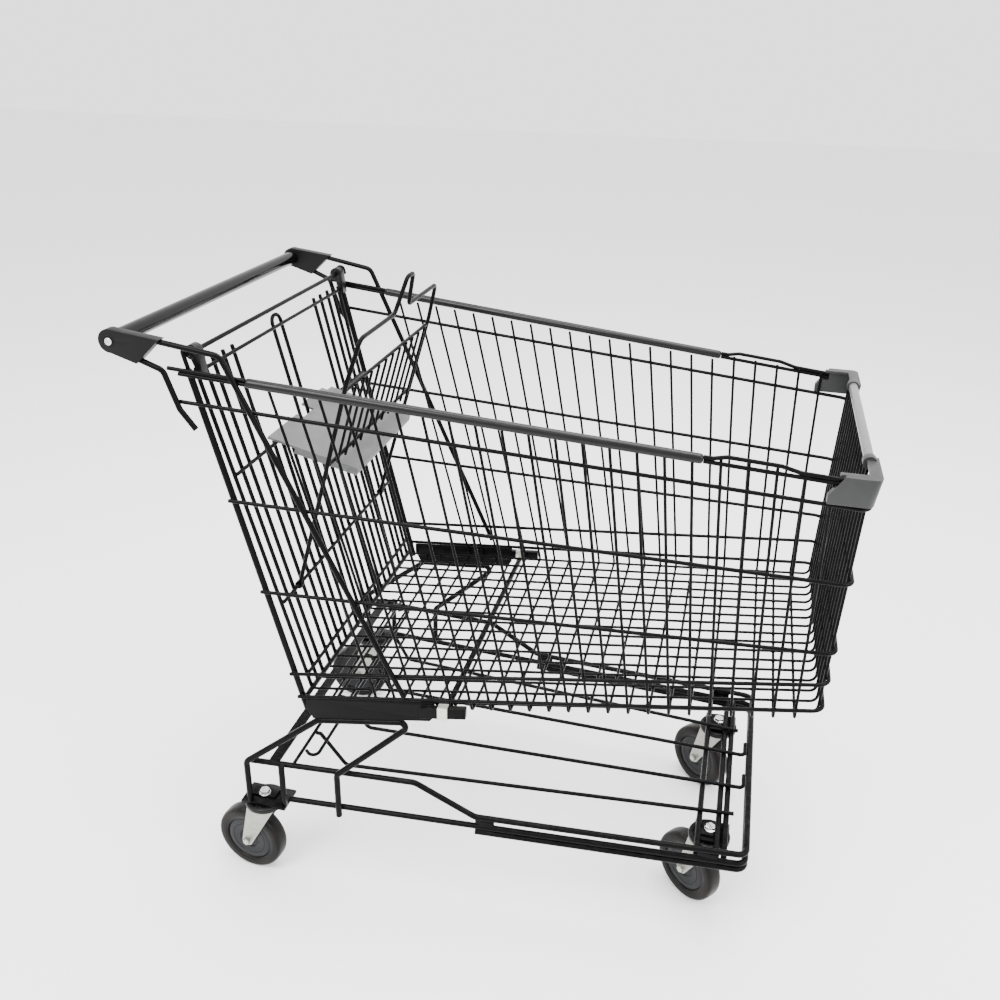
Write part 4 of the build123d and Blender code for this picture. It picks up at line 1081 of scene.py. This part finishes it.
@dataclass
class Rim:
    """Handle, rim tubes, uprights with their hooks, hinge bar and corner bumpers.

    Args:
        hook_drop: how far an upright's hook reaches down ahead of the hinge bar.
        lip: size of the ring round each handle screw.
    """

    shop: Workshop
    hook_drop: float = 15.0 * MM
    lip: float = 9.0 * MM

    def build(self) -> None:
        """Draw the rim's pieces."""
        hinge = straight_bars("hinge_bar")
        self.shop.bars("gate_hinge_bar", hinge, "frame", BLACK_WIRE, ("hinge_bar",))
        stepped = [stepped_bar(f"upright_{side}") for side in SIDES]
        uprights = [thick for thick, _ in stepped]
        hooks = [self.hooked(neck, hinge[0]) for _, neck in stepped]
        self.shop.bars("rear_uprights", uprights + hooks, "frame", BLACK_WIRE,
                       ("upright_left", "upright_right"), 24)
        hoops = [bar for side in SIDES for bar in straight_bars(f"side_rails_{side}")]
        self.shop.welds("upright_welds", uprights, hoops, "frame", BLACK_WIRE, 0.8)
        self.shop.welds("hinge_bar_welds", hooks, hinge, "frame", BLACK_WIRE, 0.9)
        for side in SIDES:
            self.shop.bars(f"rim_tube_{side}_coated", straight_bars(f"rim_tube_{side}"), "frame", RIM_BLACK,
                           (f"rim_tube_{side}",), 32)
            self.shop.softened(f"corner_bumper_{side}_moulded", f"corner_bumper_{side}", "frame", BUMPER_GREY,
                               2.2 * MM, 4)
        self.shop.bars("front_tube_painted", straight_bars("front_tube"), "frame", TUBE_GREY,
                       ("front_tube",), 40)
        self.shop.coat({f"{name}_{side}": BLACK_WIRE for side in SIDES
                        for name in ("support_frame", "support_hook", "rim_wires")})
        self.handle()

    def hooked(self, neck: Bar, hinge: Bar) -> Bar:
        """Neck of an upright, bent over the hinge bar.

        Args:
            neck: straight neck, from its foot up.
            hinge: hinge bar.

        Returns:
            The bent neck.
        """
        way = neck.way
        ahead = Vector((way.z, 0.0, -way.x))
        reach = neck.radius + hinge.radius
        crown = neck.end + way * (hinge.start.z + reach - neck.end.z) / way.z
        bend = crown + ahead * 2 * reach
        return Bar([neck.start, crown, bend, bend - way * self.hook_drop],
                   neck.radius, reach * 0.95)

    def handle(self) -> None:
        """Draw the handle tube, its brackets and screws."""
        low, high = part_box("handle_tube")
        radius, half = (high.z - low.z) / 2, (high.y - low.y) / 2
        wall, plug = 2.0 * MM, 3.0 * MM
        place = Matrix.Translation((low + high) / 2) @ Matrix.Rotation(math.pi / 2, 4, "X")
        section = [(radius - wall, -half), (radius, -half), (radius, half), (radius - wall, half),
                   (radius - wall, half - plug), (0.0, half - plug), (0.0, plug - half),
                   (radius - wall, plug - half)]
        self.shop.turned("handle_tube_painted", section, place, "frame", HANDLE_GLOSS,
                         ("handle_tube",), 64, 0.3 * MM)
        self.shop.softened("handle_screws_domed", "handle_screws", "frame", SCREW_STEEL, 0.25 * MM)
        for side, sign in zip(SIDES, (1, -1)):
            self.shop.softened(f"handle_bracket_{side}_moulded", f"handle_bracket_{side}", "frame",
                               BRACKET_GREY, 1.6 * MM, 3)
            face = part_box(f"handle_bracket_{side}")[1 if sign > 0 else 0].y
            ring = [(self.lip - 1.4 * MM, 0.0), (self.lip, 0.0), (self.lip - 0.4 * MM, 0.7 * MM),
                    (self.lip - 1.0 * MM, 0.7 * MM)]
            middle = Vector((place.translation.x, face - sign * 0.05 * MM, place.translation.z))
            turn = Matrix.Translation(middle) @ Matrix.Rotation(-sign * math.pi / 2, 4, "X")
            self.shop.turned(f"screw_lip_{side}", ring, turn, "frame", BRACKET_GREY, bevel=0.2 * MM)


@dataclass
class Chassis:
    """Side plates, bands, legs, rails, tray and cross bars.

    Args:
        plate_round: rounding of the side plates' edges.
    """

    shop: Workshop
    plate_round: float = 1.2 * MM

    def build(self) -> None:
        """Draw the chassis."""
        for side in SIDES:
            self.shop.softened(f"side_plate_{side}_moulded", f"side_plate_{side}", "frame", PLATE_BLACK,
                               self.plate_round, 3)
        self.shop.softened("plate_bands_pressed", "plate_bands", "frame", BAND_METAL, 0.5 * MM)
        self.shop.softened("rail_spacers", "rail_posts", "frame", BLACK_WIRE, 0.6 * MM)
        self.shop.softened("cross_bars_coated", "cross_bars", "frame", BLACK_WIRE, 0.6 * MM)
        front = straight_bars("front_cross_bars")
        self.shop.bars("front_cross_bars_coated", front, "frame", BLACK_WIRE, ("front_cross_bars",), 24)
        self.shop.coat({node: BLACK_WIRE for node in ("bottom_rail", "upper_rail", "tray_wires",
                                                      "rear_leg_left", "rear_leg_right")})


@dataclass
class Caster:
    """One swivel caster: fork, axle, wheel centre and tyre.

    Args:
        corner: corner that it carries.
        crown: how square the tread's section is, lower is squarer.
        section_steps: faces across the tread.
    """

    shop: Workshop
    corner: str
    crown: float = 0.55
    section_steps: int = 18

    def __post_init__(self) -> None:
        """Read the wheel's place from its joint."""
        spin = next(joint for joint in frame["joints"] if joint["name"] == f"spin_{self.corner}")
        middle, axis = Vector(spin["pos_m"]), Vector(spin["axis"]).normalized()
        ahead = axis.cross(Vector((0, 0, 1)))
        turn = Matrix((ahead, axis.cross(ahead), axis)).transposed().to_4x4()
        self.place = Matrix.Translation(middle) @ turn
        self.axis = axis
        self.middle = middle

    def half_width(self, node: str) -> float:
        """Half of a node's width along the axle."""
        points = frame["nodes"][node].data.vertices
        return max((point.co - self.middle).dot(self.axis) for point in points)

    def half_height(self, node: str) -> float:
        """Half of a node's height."""
        low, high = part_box(node)
        return (high.z - low.z) / 2

    def build(self) -> None:
        """Draw the caster."""
        corner = self.corner
        for name, node, finish, bevel in ((f"fork_{corner}_pressed", f"fork_{corner}", FORK_ZINC, 0.7 * MM),
                                          (f"axle_{corner}_bolt", f"axle_{corner}", AXLE_ZINC, 0.5 * MM)):
            self.shop.softened(name, node, f"caster_{corner}", finish, bevel)
        self.tyre()
        self.wheel_centre()

    def tyre(self) -> None:
        """Tread with a crowned section and a bead against the wheel centre."""
        node = f"tyre_{self.corner}"
        radius, half = self.half_height(node), self.half_width(node)
        inner = self.half_height(f"wheel_hub_{self.corner}")
        shoulder = inner + 0.45 * (radius - inner)
        section = [(inner, -0.93 * half), (inner + 1.2 * MM, -half)]
        for step in range(self.section_steps + 1):
            angle = math.pi * (step / self.section_steps - 0.5)
            side, rise = math.sin(angle), math.cos(angle)
            along = half * math.copysign(abs(side) ** self.crown, side)
            section.append((shoulder + (radius - shoulder) * max(rise, 0.0) ** self.crown, along))
        section += [(inner + 1.2 * MM, half), (inner, 0.93 * half)]
        self.shop.turned(f"{node}_tread", section, self.place, f"wheel_{self.corner}", TYRE_RUBBER,
                         (node,), 96)

    def wheel_centre(self) -> None:
        """Moulded centre with a dish, ring grooves and a boss on each face."""
        node = f"wheel_hub_{self.corner}"
        radius, boss = self.half_height(node) - 0.02 * MM, self.half_width(node)
        face = self.half_width(f"tyre_{self.corner}") - 1.6 * MM
        bore = 4.1 * MM
        half = [(bore, boss), (8.6 * MM, boss), (9.2 * MM, boss - 0.8 * MM), (10.5 * MM, face - 2.6 * MM),
                (0.40 * radius, face - 3.0 * MM), (0.46 * radius, face - 0.8 * MM), (0.70 * radius, face),
                (0.715 * radius, face - 0.9 * MM), (0.745 * radius, face - 0.9 * MM), (0.76 * radius, face),
                (0.93 * radius, face), (0.97 * radius, face - 0.6 * MM), (radius, face - 1.6 * MM)]
        section = half + [(r, -height) for r, height in reversed(half)]
        self.shop.turned(f"{node}_moulded", section, self.place, f"wheel_{self.corner}", HUB_GREY,
                         (node,), 80, 0.25 * MM)


@dataclass
class CasterMounts:
    """Plates, kingpins and guard rings of all four casters.

    Args:
        marks: radial marks on each bolt head.
    """

    shop: Workshop
    marks: int = 6

    def build(self) -> None:
        """Draw the mounts, their bolts and the marks on the bolt heads."""
        self.shop.softened("caster_mounts_welded", "caster_mounts", "frame", BLACK_WIRE, 0.8 * MM)
        self.shop.softened("kingpin_bolts", "kingpins", "frame", BOLT_CHROME, 0.6 * MM, 3)
        self.shop.coat({"caster_guards": GUARD_BLACK})
        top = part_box("kingpins")[1].z
        heads = [Vector((joint["pos_m"][0], joint["pos_m"][1], top)) for joint in frame["joints"]
                 if joint["name"].startswith("swivel_")]
        upwards = [Vector((0, 0, 1))] * len(heads)
        self.shop.ribs("bolt_head_marks", heads, upwards, "frame", BOLT_CHROME, count=self.marks,
                       ring_radius=4.2 * MM, rib_length=4.4 * MM, rib_width=1.2 * MM, rib_height=0.9 * MM)
        seat = top - 5.6 * MM
        for corner, head in zip(CORNERS, heads):
            place = Matrix.Translation((head.x, head.y, seat))
            washer = [(8.0 * MM, -0.5 * MM), (10.2 * MM, -0.5 * MM),
                      (9.6 * MM, 0.6 * MM), (8.0 * MM, 0.7 * MM)]
            self.shop.turned(f"bolt_washer_{corner}", washer, place, "frame", BOLT_CHROME, bevel=0.15 * MM)


@dataclass
class Gate:
    """Swinging gate with its wires, hinge blocks and the folding child seat.

    Args:
        loop_bend: bend of the looped pair of wires.
    """

    shop: Workshop
    loop_bend: float = 13.0 * MM

    def build(self) -> None:
        """Draw the gate and the seat."""
        rails = straight_bars("gate_frame")
        wires = straight_bars("gate_wires") + [self.loop()]
        self.shop.bars("gate_frame_coated", rails, "gate", BLACK_WIRE, ("gate_frame",))
        self.shop.bars("gate_wires_coated", wires, "gate", BLACK_WIRE, ("gate_wires",))
        cross = [bar for bar in rails if abs(bar.way.y) > ALONG]
        uprights = wires + [bar for bar in rails if abs(bar.way.y) < ALONG]
        self.shop.welds("gate_welds", uprights, cross, "gate", BLACK_WIRE, 0.85)
        self.shop.softened("hinge_blocks_moulded", "hinge_blocks", "gate", HINGE_BLACK, 1.0 * MM, 3)
        self.shop.softened("seat_plate_moulded", "seat_plate", "seat", SEAT_GREY, 1.0 * MM, 3)
        back = straight_bars("seat_back_wires")
        self.shop.bars("seat_back_wires_coated", back, "seat_back", BLACK_WIRE, ("seat_back_wires",))
        self.shop.coat({"seat_back_frame": BLACK_WIRE})

    def loop(self) -> Bar:
        """Looped pair of wires in the middle of the gate."""
        points = other_shells("gate_wires")[0]
        side = points[:, 1].max()
        foot = points[points[:, 2] < points[:, 2].min() + 2 * MM]
        crown = points[points[:, 2] > points[:, 2].max() - 2 * MM]
        radius = (foot[:, 1].max() - foot[foot[:, 1] > 0][:, 1].min()) / 2
        low = Vector((foot[:, 0].mean(), side - radius, foot[:, 2].mean()))
        high = Vector((crown[:, 0].mean(), side - radius, crown[:, 2].max() - radius))
        mirror = [Vector((point.x, -point.y, point.z)) for point in (high, low)]
        return Bar([low, high, *mirror], radius, self.loop_bend)


# ---------------------------------------------------------------- studio
@dataclass
class Studio:
    """Pale floor, soft lights and the camera.

    Args:
        eye: place of the camera.
        bearing: angle of the camera round Z, from looking along +Y, in degrees.
        height: angle of the camera above the level, in degrees.
        roll: roll of the camera, in degrees.
        lens: focal length on a 36 mm sensor.
        sky: brightness of the even sky.
        key: power of the largest light, in watts.
    """

    eye: tuple[float, float, float] = (0.3300, -1.4862, 1.3722)
    bearing: float = 13.4972
    height: float = 25.1886
    roll: float = 1.2645
    lens: float = 36.0
    sky: float = 2.2
    key: float = 200.0

    def build(self) -> None:
        """Make the studio."""
        self.camera()
        self.floor()
        self.lights()

    def camera(self) -> None:
        """Camera at the viewing angle."""
        turn, lift, roll = (math.radians(angle) for angle in (self.bearing, self.height, self.roll))
        back = Vector((math.sin(turn) * math.cos(lift), -math.cos(turn) * math.cos(lift), math.sin(lift)))
        level = (-back).cross(Vector((0, 0, 1))).normalized()
        top = level.cross(-back)
        right = level * math.cos(roll) + top * math.sin(roll)
        up = top * math.cos(roll) - level * math.sin(roll)
        lens = bpy.data.cameras.new("studio_camera")
        lens.lens, lens.sensor_width = self.lens, 36.0
        lens.clip_start, lens.clip_end = 0.05, 60.0
        eye = bpy.data.objects.new("studio_camera", lens)
        eye.matrix_world = Matrix.Translation(self.eye) @ Matrix((right, up, back)).transposed().to_4x4()
        bpy.context.scene.collection.objects.link(eye)
        bpy.context.scene.camera = eye

    def floor(self) -> None:
        """Pale floor."""
        mesh = bpy.data.meshes.new("studio_floor")
        reach = 14.0
        mesh.from_pydata([(-reach, -reach, 0), (reach, -reach, 0), (reach, reach, 0), (-reach, reach, 0)], [],
                         [(0, 1, 2, 3)])
        material = bpy.data.materials.new("studio_floor")
        material.use_nodes = True
        shader = material.node_tree.nodes["Principled BSDF"]
        shader.inputs["Base Color"].default_value = (0.92, 0.92, 0.92, 1.0)
        shader.inputs["Roughness"].default_value = 0.7
        mesh.materials.append(material)
        ground = new_piece("studio_floor", mesh)

    def lights(self) -> None:
        """Even sky and soft lights above."""
        world = bpy.data.worlds.new("studio_sky")
        world.use_nodes = True
        world.node_tree.nodes["Background"].inputs["Color"].default_value = (1.0, 1.0, 1.0, 1.0)
        world.node_tree.nodes["Background"].inputs["Strength"].default_value = self.sky
        bpy.context.scene.world = world
        lamps = (("key", (-1.2, -2.2, 3.2), 1.6, 0.8), ("top", (0.3, 0.4, 3.6), 2.4, 1.0),
                 ("fill", (2.6, -1.0, 2.2), 1.6, 0.4))
        for name, place, size, share in lamps:
            lamp = bpy.data.lights.new(f"{name}_light", "AREA")
            lamp.shape, lamp.size, lamp.energy = "SQUARE", size, share * self.key
            light = bpy.data.objects.new(f"{name}_light", lamp)
            way = Vector(LAMP_TARGET) - Vector(place)
            light.matrix_world = Matrix.Translation(place) @ way.to_track_quat("-Z", "Y").to_matrix().to_4x4()
            bpy.context.scene.collection.objects.link(light)


def main() -> None:
    """Build every sub-assembly in order, then the studio."""
    logging.basicConfig(level=logging.INFO, format="%(message)s")
    shop = Workshop(Paint())
    assemblies = [Basket(shop), Rim(shop), Chassis(shop), CasterMounts(shop), Gate(shop), Studio()]
    assemblies += [Caster(shop, corner) for corner in CORNERS]
    for assembly in assemblies:
        assembly.build()
        log.info("built %s", type(assembly).__name__)
    log.info("%d pieces made", len(shop.made))


if __name__ == "__main__":
    main()
